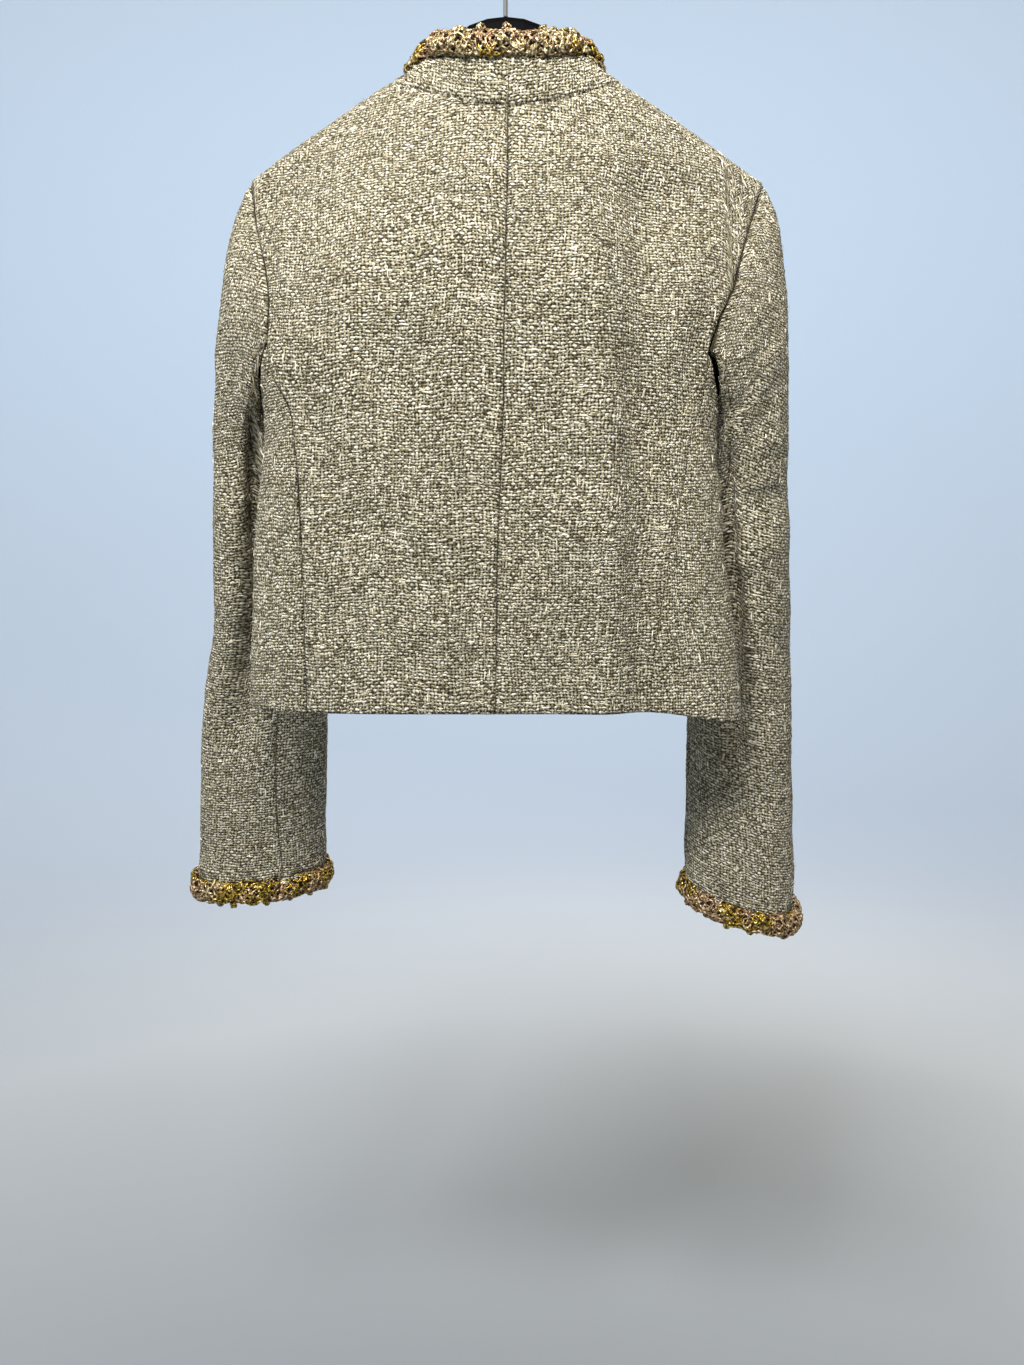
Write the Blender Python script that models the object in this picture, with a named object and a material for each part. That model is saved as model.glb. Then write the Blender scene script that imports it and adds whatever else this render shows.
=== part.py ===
# A cropped tweed jacket hanging on a contoured hanger.
# Metres, +Z up. The origin is the inner top of the hanger's hook. The jacket's front faces -Y,
# so the wearer's left is +X. Table lengths are in millimetres, heights are below the origin.
import math

import bmesh
import bpy
import numpy as np

for old in list(bpy.data.objects):
    bpy.data.objects.remove(old, do_unlink=True)

MM = 0.001

# Cloth and seams
WALL = 2.2 * MM
SEAM_GAP = 0.3 * MM
SAME_PLACE = 0.0237 * MM

# Grid counts: segments along each edge of a panel
ARM_BACK = 9
ARM_SIDE = 6
ARM_FRONT = 9
ARM_COUNT = ARM_BACK + ARM_SIDE + ARM_FRONT
LOW_ROWS = 9
NECK_COUNT = 5
SHOULDER_COUNT = 8
MIDDLE_SPACING_DEG = 125
COLLAR_ROWS = 3

# Torso: the sections are flat ovals, squarer at the back than at the front
BACK_POWER = 2.6
FRONT_POWER = 1.75
CREST_TOP = -91.8 * MM
CREST_SLOPE = 0.64
CREST_SWELL = 2.2 * MM
CREST_SWELL_AT = 150 * MM
CREST_SWELL_SPAN = 45 * MM
CREST_ROUND = 50 * MM
CREST_FORWARD = 22 * MM
CREST_REACH = 210 * MM
SHOULDER_FILL = 200 * MM
SHOULDER_POWER = 1.5
CREST_RADIUS = 14 * MM
CREST_FADE = 80 * MM
UNDERARM_PULL = 1.4
NECK_HALF = 92 * MM
BACK_NECK_Z = -160 * MM
BACK_NECK_POWER = 1.7
FRONT_NECK_POWER = 1.55
NECK_EVEN = 0.5
FRONT_NECK_BUNCH = 1.6
FRONT_NECK_Z = -205 * MM
MID_BACK_Z = -360 * MM
FOLD_FADE = 60 * MM
SIDE_SEAM_EASE = 60 * MM

# Hanger and hook
ARM_TIP = 187 * MM
HANGER_SIDES = 12
HANGER_STEPS = 26
HANGER_ROOM = 0.6 * MM
HANGER_DIP = 4 * MM
HANGER_DIP_FROM = 88 * MM
HANGER_DIP_SPAN = 40 * MM
HANGER_NECK = 76 * MM
HANGER_JOIN = 14 * MM
HANGER_TIP_ROUND = 14 * MM
HANGER_TIP_LEAST = 0.12
HOOK_WIRE = 1.75 * MM
HOOK_INSIDE = 21 * MM

# Crocheted edging: half sizes of its section, and the length of one picot
TRIM_THICK = 7.2 * MM
TRIM_TALL = 10.2 * MM
TRIM_OUT = 1.6 * MM
TRIM_PICOT = 14 * MM
TRIM_STEPS = 3
TRIM_BUMP = 0.24
TRIM_TWIST = 2.1
TRIM_UNEVEN = 0.83
TRIM_UNEVEN_TWIST = 1.7
TRIM_SIDES = 7
TRIM_END_GAP = 2 * MM


def table(columns, rows):
    """Named columns of a short table; lengths go from millimetres to metres."""
    names = columns.split()
    values = np.array(rows, float)
    out = {}
    for index, name in enumerate(names):
        plain = name.endswith("_deg") or name.endswith("_share")
        out[name] = values[:, index] * (1 if plain else MM)
    return out


def read(data, key, where, column):
    """A smooth curve through a table's rows that never overshoots them."""
    xs = data[key]
    ys = data[column]
    if xs[0] > xs[-1]:
        xs = xs[::-1]
        ys = ys[::-1]
    where = min(max(where, xs[0]), xs[-1])
    slope = np.diff(ys) / np.diff(xs)
    bend = np.zeros(len(xs))
    for i in range(1, len(xs) - 1):
        if slope[i - 1] * slope[i] > 0:
            bend[i] = 2 * slope[i - 1] * slope[i] / (slope[i - 1] + slope[i])
    bend[0] = slope[0]
    bend[-1] = slope[-1]
    i = min(max(int(np.searchsorted(xs, where)) - 1, 0), len(xs) - 2)
    run = xs[i + 1] - xs[i]
    t = (where - xs[i]) / run
    start = (1 + 2 * t) * (1 - t) ** 2 * ys[i] + t * (1 - t) ** 2 * run * bend[i]
    end = t * t * (3 - 2 * t) * ys[i + 1] + t * t * (t - 1) * run * bend[i + 1]
    return float(start + end)


def smoothstep(t):
    t = min(max(t, 0.0), 1.0)
    return t * t * (3 - 2 * t)


def unit(vector):
    return vector / max(float(np.linalg.norm(vector)), 1e-12)


# The torso's oval at each height: where its middle is, its half widths and its half depths
TORSO = table("height middle left right back front", [
    (-90, -2, 240, 242, 78, 76),
    (-200, -2, 240, 240, 78, 76),
    (-250, -1, 236, 232, 78, 76),
    (-300, 0, 224, 210, 77, 74),
    (-337, 1, 206, 181, 76, 72),
    (-374, 1, 194, 171, 75, 70),
    (-400, 2, 192, 171, 74, 69),
    (-451, 4, 197, 178, 73, 69),
    (-499, 6, 198, 185, 72, 70),
    (-548, 6.5, 201, 191.5, 71, 71),
    (-605, 7.5, 202, 201, 69, 72),
    (-632, 8, 202, 203, 69, 72),
])

# Armhole seams: how far out the seam is as it turns from the shoulder down to the side panel
ARMHOLE = {
    "left": {
        "top": -198.5 * MM,
        "bottom": -372 * MM,
        "back": table("turn_deg out", [(0, 206.5), (50, 199), (85, 187), (105, 182.5), (123, 183.5)]),
        "front": table("turn_deg out", [(0, 206.5), (50, 195), (85, 180), (105, 174), (123, 173)]),
    },
    "right": {
        "top": -199.5 * MM,
        "bottom": -373.5 * MM,
        "back": table("turn_deg out", [
            (0, 210), (41, 198.5), (75, 184), (91, 177.5), (113, 164), (128, 159.5)]),
        "front": table("turn_deg out", [
            (0, 210), (41, 197), (75, 180), (91, 172), (113, 162), (128, 158)]),
    },
}

# Side-back and side-front seams and the hem: x of each seam by height
SEAMS = {
    "left": table("height back front", [
        (-330, 183, 173), (-385, 165.5, 160), (-441, 160, 154),
        (-505, 157, 150), (-583, 155.5, 148), (-640, 155, 147)]),
    "right": table("height back front", [
        (-330, 160, 158), (-385, 152, 150), (-441, 142, 146),
        (-505, 127, 143), (-583, 116, 141), (-640, 113, 140)]),
}

# The hem dips towards the wearer's right
HEM = table("across height", [
    (-210, -631), (-190, -630), (-146, -622.5), (-105, -618), (0, -618), (210, -618.5)])

# Soft folds of the back and fronts: a line from top to bottom, its width and how far it stands out
FOLDS = table("face_share top_x top_z low_x low_z width out", [
    (1, -74, -190, -86, -600, 20, 3.0),
    (1, -104, -200, -112, -640, 20, -5.5),
    (1, -150, -420, -150, -640, 20, 3.5),
    (1, 120, -240, 128, -620, 34, 2.0),
    (1, 168, -330, 120, -470, 16, -2.5),
    (1, -128, -400, -156, -330, 12, -2.5),
    (-1, 70, -260, 84, -620, 26, 4.0),
    (-1, 118, -330, 110, -620, 18, -4.0),
    (-1, -66, -260, -80, -620, 26, 4.0),
    (-1, -112, -330, -108, -620, 18, -4.0),
])


def side_sign(side):
    return 1 if side == "left" else -1


def middle_x(z):
    return read(TORSO, "height", z, "middle")


def crest_z(x):
    """Height of the shoulder line above x."""
    swell = CREST_SWELL * math.exp(-(((abs(x) - CREST_SWELL_AT) / CREST_SWELL_SPAN) ** 2))
    return CREST_TOP + swell - CREST_SLOPE * (math.hypot(x, CREST_ROUND) - CREST_ROUND)


def crest_y(x):
    """The shoulders lean forward towards their ends."""
    return -CREST_FORWARD * (abs(x) / CREST_REACH) ** 2


def fold_out(face, x, z):
    out = 0.0
    for i in range(len(FOLDS["width"])):
        if FOLDS["face_share"][i] != face:
            continue
        top_x, top_z = FOLDS["top_x"][i], FOLDS["top_z"][i]
        low_x, low_z = FOLDS["low_x"][i], FOLDS["low_z"][i]
        run_x, run_z = low_x - top_x, low_z - top_z
        length = math.hypot(run_x, run_z)
        along = ((x - top_x) * run_x + (z - top_z) * run_z) / length
        off = ((x - top_x) * run_z - (z - top_z) * run_x) / length
        ends = smoothstep(0.5 + along / FOLD_FADE) * smoothstep(0.5 + (length - along) / FOLD_FADE)
        out += FOLDS["out"][i] * ends * math.exp(-((off / FOLDS["width"][i]) ** 2))
    return out


def torso_point(side, face, turn, z):
    """A point of the torso: turn is 0 at the side and 90 degrees at the middle of the back or front."""
    power = BACK_POWER if face > 0 else FRONT_POWER
    sign = side_sign(side)
    out = read(TORSO, "height", z, side) * max(math.cos(turn), 0.0) ** (2 / power)
    x = middle_x(z) + sign * out
    depth = read(TORSO, "height", z, "back" if face > 0 else "front")
    drop = max(crest_z(x) - z, 0.0)
    left_over = 1 - min(drop / SHOULDER_FILL, 1.0)
    fill = (1 - left_over ** SHOULDER_POWER) ** (1 / SHOULDER_POWER)
    lean = crest_y(x) * (1 - smoothstep(drop / SHOULDER_FILL))
    round_off = math.sin(turn) ** (2 / power)
    main = fill * (depth * round_off + fold_out(face, x, z) * math.sin(turn))
    cap = CREST_RADIUS * math.sqrt(1 - (1 - min(drop / CREST_RADIUS, 1.0)) ** 2)
    y = lean + face * math.hypot(main, cap * (1 - smoothstep(drop / CREST_FADE)))
    return np.array([x, y, z])


def turn_at(side, face, x, z):
    """The turn whose torso point lies at x."""
    power = BACK_POWER if face > 0 else FRONT_POWER
    share = min(abs(x - middle_x(z)) / read(TORSO, "height", z, side), 1.0)
    return math.acos(share ** (power / 2))


def panel_point(side, face, x, z):
    return torso_point(side, face, turn_at(side, face, x, z), z)


def armhole_turns(side):
    """Angles of the armhole's points: back, under the arm, front, back to the shoulder."""
    last = ARMHOLE[side]["back"]["turn_deg"][-1]
    back = np.linspace(0, last, ARM_BACK + 1)
    under = np.linspace(last, 360 - last, ARM_SIDE + 1)
    front = np.linspace(360 - last, 360, ARM_FRONT + 1)
    return np.concatenate([back[:-1], under[:-1], front[:-1]])


def armhole_flat(side, degrees):
    """Face, turn on the torso and height of the armhole seam at an angle from the shoulder."""
    hole = ARMHOLE[side]
    middle = (hole["top"] + hole["bottom"]) / 2
    reach = (hole["top"] - hole["bottom"]) / 2
    face = 1 if degrees <= 180 else -1
    angle = degrees if face > 0 else 360 - degrees
    z = middle + reach * math.cos(math.radians(angle))
    rows = hole["back"] if face > 0 else hole["front"]
    last = rows["turn_deg"][-1]
    if angle <= last:
        x = side_sign(side) * read(rows, "turn_deg", angle, "out")
        if angle == 0:
            z = crest_z(x)
        return face, turn_at(side, face, x, z), z
    low_z = middle + reach * math.cos(math.radians(last))
    start = turn_at(side, face, side_sign(side) * rows["out"][-1], low_z)
    return face, start * ((180 - angle) / (180 - last)) ** UNDERARM_PULL, z


def armhole_point(side, degrees):
    face, turn, z = armhole_flat(side, degrees)
    return torso_point(side, face, turn, z)


def hem_z(x):
    return read(HEM, "across", x, "height")


def seam_x(side, face, z):
    """The side seams start at the armhole and drift with height."""
    rows = ARMHOLE[side]["back" if face > 0 else "front"]
    start = rows["out"][-1]
    drawn = read(SEAMS[side], "height", z, "back" if face > 0 else "front")
    top = armhole_flat(side, rows["turn_deg"][-1] if face > 0 else 360 - rows["turn_deg"][-1])[2]
    near = smoothstep((top - z) / SIDE_SEAM_EASE)
    return side_sign(side) * (start * (1 - near) + drawn * near)


def neck_flat(side, face, index):
    """x and height of a point of the neck seam, counted from the middle to the shoulder."""
    sign = side_sign(side)
    share = index / NECK_COUNT
    if face < 0:
        # Front points lie closer together near the shoulder
        share = 1 - (1 - share) ** FRONT_NECK_BUNCH
    low_z = BACK_NECK_Z if face > 0 else FRONT_NECK_Z
    power = BACK_NECK_POWER if face > 0 else FRONT_NECK_POWER
    start = middle_x(low_z)
    along = math.sin(share * math.pi / 2) * NECK_EVEN + share * (1 - NECK_EVEN)
    x = start + (sign * NECK_HALF - start) * along
    return x, low_z + (crest_z(NECK_HALF) - low_z) * along ** power


def blend_edges(top, bottom, near, far, r, c):
    """A point inside a four-sided patch, from its four edges."""
    a = c / (len(top) - 1)
    b = r / (len(near) - 1)
    across = (1 - b) * top[c] + b * bottom[c]
    down = (1 - a) * near[r] + a * far[r]
    corners = (1 - b) * ((1 - a) * top[0] + a * top[-1]) + b * ((1 - a) * bottom[0] + a * bottom[-1])
    return across + down - corners


def panel_grid(side, face):
    """Points of a back or front panel: rows run down to the hem, columns from the middle to the side."""
    sign = side_sign(side)
    turns = armhole_turns(side)
    arm = ARM_BACK if face > 0 else ARM_FRONT
    degrees = list(turns[:arm + 1])
    if face < 0:
        degrees = [0] + [360 - angle for angle in turns[:-arm - 1:-1]]
    rows = arm + LOW_ROWS
    neck = [neck_flat(side, face, i) for i in range(NECK_COUNT + 1)]
    tip_x = sign * ARMHOLE[side]["back"]["out"][0]
    shoulder = []
    for i in range(1, SHOULDER_COUNT + 1):
        x = sign * NECK_HALF + (tip_x - sign * NECK_HALF) * i / SHOULDER_COUNT
        shoulder.append((x, crest_z(x)))
    far = shoulder[-1:]
    for angle in degrees[1:]:
        _, turn, z = armhole_flat(side, angle if face > 0 else 360 - angle)
        x = torso_point(side, face, turn, z)[0]
        far.append((x, z))
    arm_z = far[-1][1]
    hem_x = seam_x(side, face, hem_z(sign * 150 * MM))
    for i in range(1, LOW_ROWS + 1):
        z = arm_z + (hem_z(hem_x) - arm_z) * i / LOW_ROWS
        far.append((seam_x(side, face, z), z))
    if face > 0:
        # The back's neck is part of its top edge
        top = neck + shoulder
        near = []
        whole = 1 - math.cos(math.radians(MIDDLE_SPACING_DEG))
        for i in range(arm + 1):
            share = (1 - math.cos(math.radians(MIDDLE_SPACING_DEG * i / arm))) / whole
            z = BACK_NECK_Z + (MID_BACK_Z - BACK_NECK_Z) * share
            near.append((middle_x(z), z))
        middle_top = MID_BACK_Z
    else:
        # A front's neck is deep, so it belongs to the edge that runs down the centre front
        top = neck[-1:] + shoulder
        near = neck[::-1]
        middle_top = FRONT_NECK_Z
    steps = rows + 1 - len(near)
    for i in range(1, steps + 1):
        z = middle_top + (hem_z(0) - middle_top) * i / steps
        near.append((middle_x(z), z))
    columns = len(top) - 1
    bottom = []
    for i in range(columns + 1):
        x = near[-1][0] + (far[-1][0] - near[-1][0]) * i / columns
        bottom.append((x, hem_z(x)))
    top, bottom, near, far = (np.array(edge) for edge in (top, bottom, near, far))
    grid = np.zeros((rows + 1, columns + 1, 3))
    for r in range(rows + 1):
        for c in range(columns + 1):
            x, z = blend_edges(top, bottom, near, far, r, c)
            grid[r, c] = panel_point(side, face, x, min(z, crest_z(x)))
    return grid


def side_grid(side):
    """Points of a side panel: columns run round under the arm from the back seam to the front seam."""
    turns = armhole_turns(side)
    top = []
    for c in range(ARM_SIDE + 1):
        face, turn, z = armhole_flat(side, turns[ARM_BACK + c])
        top.append((face * turn, z))
    edges = []
    for face, start in ((1, top[0]), (-1, top[-1])):
        hem_x = seam_x(side, face, hem_z(side_sign(side) * 150 * MM))
        edge = [start]
        for i in range(1, LOW_ROWS + 1):
            z = start[1] + (hem_z(hem_x) - start[1]) * i / LOW_ROWS
            edge.append((face * turn_at(side, face, seam_x(side, face, z), z), z))
        edges.append(edge)
    near, far = edges
    bottom = []
    for c in range(ARM_SIDE + 1):
        share = 1 - 2 * c / ARM_SIDE
        start = near[-1][0] if share > 0 else far[-1][0]
        turn = start * abs(share) ** UNDERARM_PULL
        x = torso_point(side, 1 if turn >= 0 else -1, abs(turn), near[-1][1])[0]
        bottom.append((turn, hem_z(x)))
    bottom[0] = near[-1]
    bottom[-1] = far[-1]
    top, bottom, near, far = (np.array(edge) for edge in (top, bottom, near, far))
    grid = np.zeros((LOW_ROWS + 1, ARM_SIDE + 1, 3))
    for r in range(LOW_ROWS + 1):
        for c in range(ARM_SIDE + 1):
            turn, z = blend_edges(top, bottom, near, far, r, c)
            grid[r, c] = torso_point(side, 1 if turn >= 0 else -1, abs(turn), z)
    return grid


# Sleeves: the outer and the inner edge of each ring, its half depth behind and before that line,
# and where the elbow seam and the front seam run round it
SLEEVE_COLUMNS = "reach_share out_x out_y out_z in_x in_y in_z back front elbow_deg"
SLEEVE = {
    "left": table(SLEEVE_COLUMNS, [
        (0.00, 206.5, -21, -198.5, 195, -2, -372, 50, 50, 123),
        (0.05, 218, -20, -221, 197, -4, -380, 50, 50, 121),
        (0.12, 229, -20, -268, 198, -10, -392, 48, 48, 118),
        (0.20, 235, -18, -316, 196, -24, -411, 42, 45, 114),
        (0.32, 240, -14, -392, 192, -58, -450, 32, 38, 108),
        (0.44, 240.5, -14, -458, 186, -84, -498, 27, 34, 102),
        (0.55, 244, -28, -526, 176, -102, -552, 26, 32, 97),
        (0.70, 266, -62, -620, 168, -110, -634, 29, 32, 93),
        (0.83, 278, -82, -696, 169, -116, -700, 31, 32, 97),
        (1.00, 287, -98, -787, 172, -122, -780, 32, 32, 108),
    ]),
    "right": table(SLEEVE_COLUMNS, [
        (0.00, 210, -21, -199.5, 171, -2, -373.5, 50, 50, 128),
        (0.05, 219, -20, -221, 174, -4, -380, 52, 50, 130),
        (0.12, 227, -20, -268, 176, -8, -392, 51, 48, 134),
        (0.20, 230, -18, -316, 175, -16, -412, 47, 45, 138),
        (0.32, 233, -18, -392, 173, -34, -452, 42, 40, 142),
        (0.44, 236, -20, -458, 172, -50, -500, 38, 36, 146),
        (0.55, 240, -28, -526, 170, -64, -552, 36, 34, 150),
        (0.70, 247, -46, -620, 166, -82, -634, 35, 34, 154),
        (0.83, 254, -60, -696, 166, -92, -700, 36, 35, 157),
        (1.00, 262, -76, -812, 168, -102, -786, 36, 36, 160),
    ]),
}
FRONT_SEAM_DEG = 236
SLEEVE_REACHES = [0, 0.025, 0.055, 0.09, 0.125, 0.16, 0.2, 0.245, 0.29, 0.34, 0.39, 0.445, 0.5, 0.555, 0.61,
                  0.67, 0.735, 0.8, 0.865, 0.935, 1.0]
ARMHOLE_BLEND = 0.3
ARMHOLE_EASE = 1.6
SLEEVE_SQUARE = 2.3
CUFF_TILT = {"left": 0.20, "right": 0.27}
CUFF_TILT_FROM = 0.6
SLEEVE_FOLD_FROM = 0.05

# Folds of the sleeves: where along and round, their spans, and how far they stand out
SLEEVE_FOLDS = {
    "left": table("reach_share turn_deg reach_span_share turn_span_deg out", [
        (0.30, 60, 0.05, 40, -2.5),
        (0.52, 30, 0.04, 50, -3.0),
        (0.58, 50, 0.03, 50, 2.0),
    ]),
    "right": table("reach_share turn_deg reach_span_share turn_span_deg out", [
        (0.10, 120, 0.05, 22, 5.0),
        (0.20, 80, 0.03, 40, 2.0),
        (0.26, 95, 0.03, 40, -2.5),
        (0.40, 60, 0.03, 50, -2.0),
        (0.47, 70, 0.03, 50, 2.0),
    ]),
}


def sleeve_ring(side, reach, degrees):
    """One ring of a sleeve; the ring at reach 0 is the armhole seam."""
    data = SLEEVE[side]
    sign = side_sign(side)

    def value(name, at=reach):
        return read(data, "reach_share", at, name)

    def ellipse(at, angle):
        outer = np.array([sign * value("out_x", at), value("out_y", at), value("out_z", at)])
        inner = np.array([sign * value("in_x", at), value("in_y", at), value("in_z", at)])
        long_axis = (outer - inner) / 2
        along = unit(long_axis)
        across = unit(np.array([0.0, 1.0, 0.0]) - along[1] * along)
        depth = value("back", at) if math.sin(angle) > 0 else value("front", at)
        tilt = -CUFF_TILT[side] * smoothstep((at - CUFF_TILT_FROM) / (1 - CUFF_TILT_FROM))
        cosine, sine = math.cos(angle), math.sin(angle)
        square = (abs(cosine) ** SLEEVE_SQUARE + abs(sine) ** SLEEVE_SQUARE) ** (-1 / SLEEVE_SQUARE)
        point = (outer + inner) / 2 + (long_axis * cosine + across * depth * sine) * square
        point[2] += tilt * depth * across[1] * sine * square
        return point

    marks = [0, degrees[ARM_BACK], degrees[ARM_BACK + ARM_SIDE], 360]
    goals = [0, value("elbow_deg"), FRONT_SEAM_DEG, 360]
    spread = smoothstep(reach / ARMHOLE_BLEND)
    weight = max(1 - reach / ARMHOLE_BLEND, 0.0) ** ARMHOLE_EASE
    folds = SLEEVE_FOLDS[side]
    ring = []
    outer = np.array([sign * value("out_x"), value("out_y"), value("out_z")])
    inner = np.array([sign * value("in_x"), value("in_y"), value("in_z")])
    centre = (outer + inner) / 2
    for base in degrees:
        turned = float(np.interp(base, marks, goals))
        angle = math.radians(base * (1 - spread) + turned * spread)
        point = ellipse(reach, angle)
        if weight > 0:
            point = point + weight * (armhole_point(side, base) - ellipse(0, math.radians(base)))
        push = 0.0
        for i in range(len(folds["out"])):
            near = (reach - folds["reach_share"][i]) / folds["reach_span_share"][i]
            round_by = (math.degrees(angle) - folds["turn_deg"][i]) / folds["turn_span_deg"][i]
            push += folds["out"][i] * math.exp(-near * near - round_by * round_by)
        push *= smoothstep(reach / SLEEVE_FOLD_FROM)
        ring.append(point + unit(point - centre) * push)
    return np.array(ring), np.array([centre] * len(ring))


def sleeve_grid(side):
    degrees = armhole_turns(side)
    rings = []
    centres = []
    for reach in SLEEVE_REACHES:
        ring, centre = sleeve_ring(side, reach, degrees)
        rings.append(ring)
        centres.append(centre)
    rings = np.array(rings)
    centres = np.array(centres)
    under = list(range(ARM_BACK, ARM_BACK + ARM_SIDE + 1))
    upper = [i % ARM_COUNT for i in range(ARM_BACK + ARM_SIDE, ARM_COUNT + ARM_BACK + 1)]
    return {
        "upper": (rings[:, upper], centres[:, upper]),
        "under": (rings[:, under], centres[:, under]),
    }


# Collar: how its top edge stands off the neck seam, from the middle of the back (0) to the front (1)
COLLAR = table("round_share rise inward", [
    (0.00, 36, 2),
    (0.18, 33, 6),
    (0.34, 26, 12),
    (0.50, 11, 15),
    (0.64, 12, 12),
    (0.82, 16, 4),
    (1.00, 19, -2),
])
NECK_AXIS = np.array([0.0, -18 * MM, 0.0])
COLLAR_BOW = 0.06


def collar_grid(side):
    seam = []
    for i in range(NECK_COUNT + 1):
        x, z = neck_flat(side, 1, i)
        seam.append(panel_point(side, 1, x, z))
    for i in range(1, NECK_COUNT + 1):
        x, z = neck_flat(side, -1, NECK_COUNT - i)
        seam.append(panel_point(side, -1, x, z))
    count = 2 * NECK_COUNT
    grid = np.zeros((COLLAR_ROWS + 1, count + 1, 3))
    for c in range(count + 1):
        rise = read(COLLAR, "round_share", c / count, "rise")
        inward = read(COLLAR, "round_share", c / count, "inward")
        to_axis = NECK_AXIS - seam[c]
        to_axis[2] = 0
        to_axis[0] = 0 if c in (0, count) else to_axis[0]
        step = unit(to_axis) * inward + np.array([0, 0, rise])
        for r in range(COLLAR_ROWS + 1):
            b = r / COLLAR_ROWS
            grid[r, c] = seam[c] + step * b - unit(to_axis) * inward * COLLAR_BOW * math.sin(math.pi * b)
    return grid


# Pieces as grids of outer points, with a point inside each to face away from
PANELS = {}


def add_panel(name, grid, centres, seams):
    """seams names the grid's edges that are sewn: first_row, last_row, first_column, last_column."""
    PANELS[name] = {"grid": grid, "centres": centres, "seams": seams}


def grid_normals(grid, centres):
    """Unit normals of a grid's points, facing away from its centres."""
    rows, columns, _ = grid.shape
    normals = np.zeros_like(grid)
    for r in range(rows - 1):
        for c in range(columns - 1):
            a, b, d, e = grid[r, c], grid[r, c + 1], grid[r + 1, c + 1], grid[r + 1, c]
            flat = unit(np.cross(d - a, e - b))
            for rr, cc in ((r, c), (r, c + 1), (r + 1, c + 1), (r + 1, c)):
                normals[rr, cc] += flat
    if np.sum(normals * (grid - centres)) < 0:
        normals = -normals
    lengths = np.linalg.norm(normals, axis=2, keepdims=True)
    return normals / np.maximum(lengths, 1e-12)


def place_key(point):
    """The small cell a point lies in, the same for every piece that meets there."""
    return tuple(np.round(point / SAME_PLACE + 0.137).astype(int))


def shared_normals():
    """At a seam every piece takes the same direction, halfway between the pieces that meet."""
    sums = {}
    for panel in PANELS.values():
        panel["normals"] = grid_normals(panel["grid"], panel["centres"])
        for point, normal in zip(panel["grid"].reshape(-1, 3), panel["normals"].reshape(-1, 3)):
            key = place_key(point)
            sums[key] = sums.get(key, 0) + normal
    for panel in PANELS.values():
        shape = panel["grid"].shape
        joined = [unit(sums[place_key(point)]) for point in panel["grid"].reshape(-1, 3)]
        panel["joined"] = np.array(joined).reshape(shape)


def open_seams(panel):
    """Outer and inner points, with sewn edges drawn back by half the seam gap."""
    grid = panel["grid"].copy()
    inner = grid - WALL * panel["joined"]
    rows, columns, _ = grid.shape
    shift = np.zeros_like(grid)
    for seam in panel["seams"]:
        for i in range(columns if seam.endswith("row") else rows):
            if seam.endswith("row"):
                r = 0 if seam == "first_row" else rows - 1
                here = (r, i)
                inside = (1 if r == 0 else rows - 2, i)
                before, after = (r, max(i - 1, 0)), (r, min(i + 1, columns - 1))
            else:
                c = 0 if seam == "first_column" else columns - 1
                here = (i, c)
                inside = (i, 1 if c == 0 else columns - 2)
                before, after = (max(i - 1, 0), c), (min(i + 1, rows - 1), c)
            tangent = unit(grid[after] - grid[before])
            wall_face = unit(np.cross(tangent, panel["joined"][here]))
            if np.dot(wall_face, grid[inside] - grid[here]) < 0:
                wall_face = -wall_face
            shift[here] += wall_face * SEAM_GAP / 2
    return grid + shift, inner + shift


def material(name, colour, roughness, metallic=0.0):
    made = bpy.data.materials.new(name)
    made.use_nodes = True
    shader = made.node_tree.nodes["Principled BSDF"]
    shader.inputs["Base Color"].default_value = (*colour, 1)
    shader.inputs["Roughness"].default_value = roughness
    shader.inputs["Metallic"].default_value = metallic
    made.diffuse_color = (*colour, 1)
    return made


def mesh_object(name, points, faces, colour, roughness, metallic=0.0):
    mesh = bpy.data.meshes.new(name)
    mesh.from_pydata([tuple(p) for p in points], [], faces)
    shape = bmesh.new()
    shape.from_mesh(mesh)
    bmesh.ops.triangulate(shape, faces=shape.faces[:], quad_method="SHORT_EDGE")
    bmesh.ops.recalc_face_normals(shape, faces=shape.faces[:])
    if shape.calc_volume(signed=True) < 0:
        bmesh.ops.reverse_faces(shape, faces=shape.faces[:])
    shape.to_mesh(mesh)
    shape.free()
    made = bpy.data.objects.new(name, mesh)
    bpy.context.scene.collection.objects.link(made)
    mesh.materials.append(material(name + "_finish", colour, roughness, metallic))
    mesh.shade_smooth()
    mesh.set_sharp_from_angle(angle=math.radians(50))
    return made


def shell_object(name, outer, inner, colour, roughness):
    """A wall between two grids of the same shape, closed along its edges."""
    rows, columns, _ = outer.shape
    count = rows * columns
    points = np.concatenate([outer.reshape(-1, 3), inner.reshape(-1, 3)])
    faces = []
    for r in range(rows - 1):
        for c in range(columns - 1):
            a = r * columns + c
            quad = (a, a + 1, a + 1 + columns, a + columns)
            faces.append(quad)
            faces.append(tuple(count + i for i in reversed(quad)))
    border = list(range(columns))
    border += [r * columns + columns - 1 for r in range(1, rows)]
    border += [(rows - 1) * columns + c for c in range(columns - 2, -1, -1)]
    border += [r * columns for r in range(rows - 2, 0, -1)]
    for i, a in enumerate(border):
        b = border[(i + 1) % len(border)]
        faces.append((b, a, a + count, b + count))
    return mesh_object(name, points, faces, colour, roughness)


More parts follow.
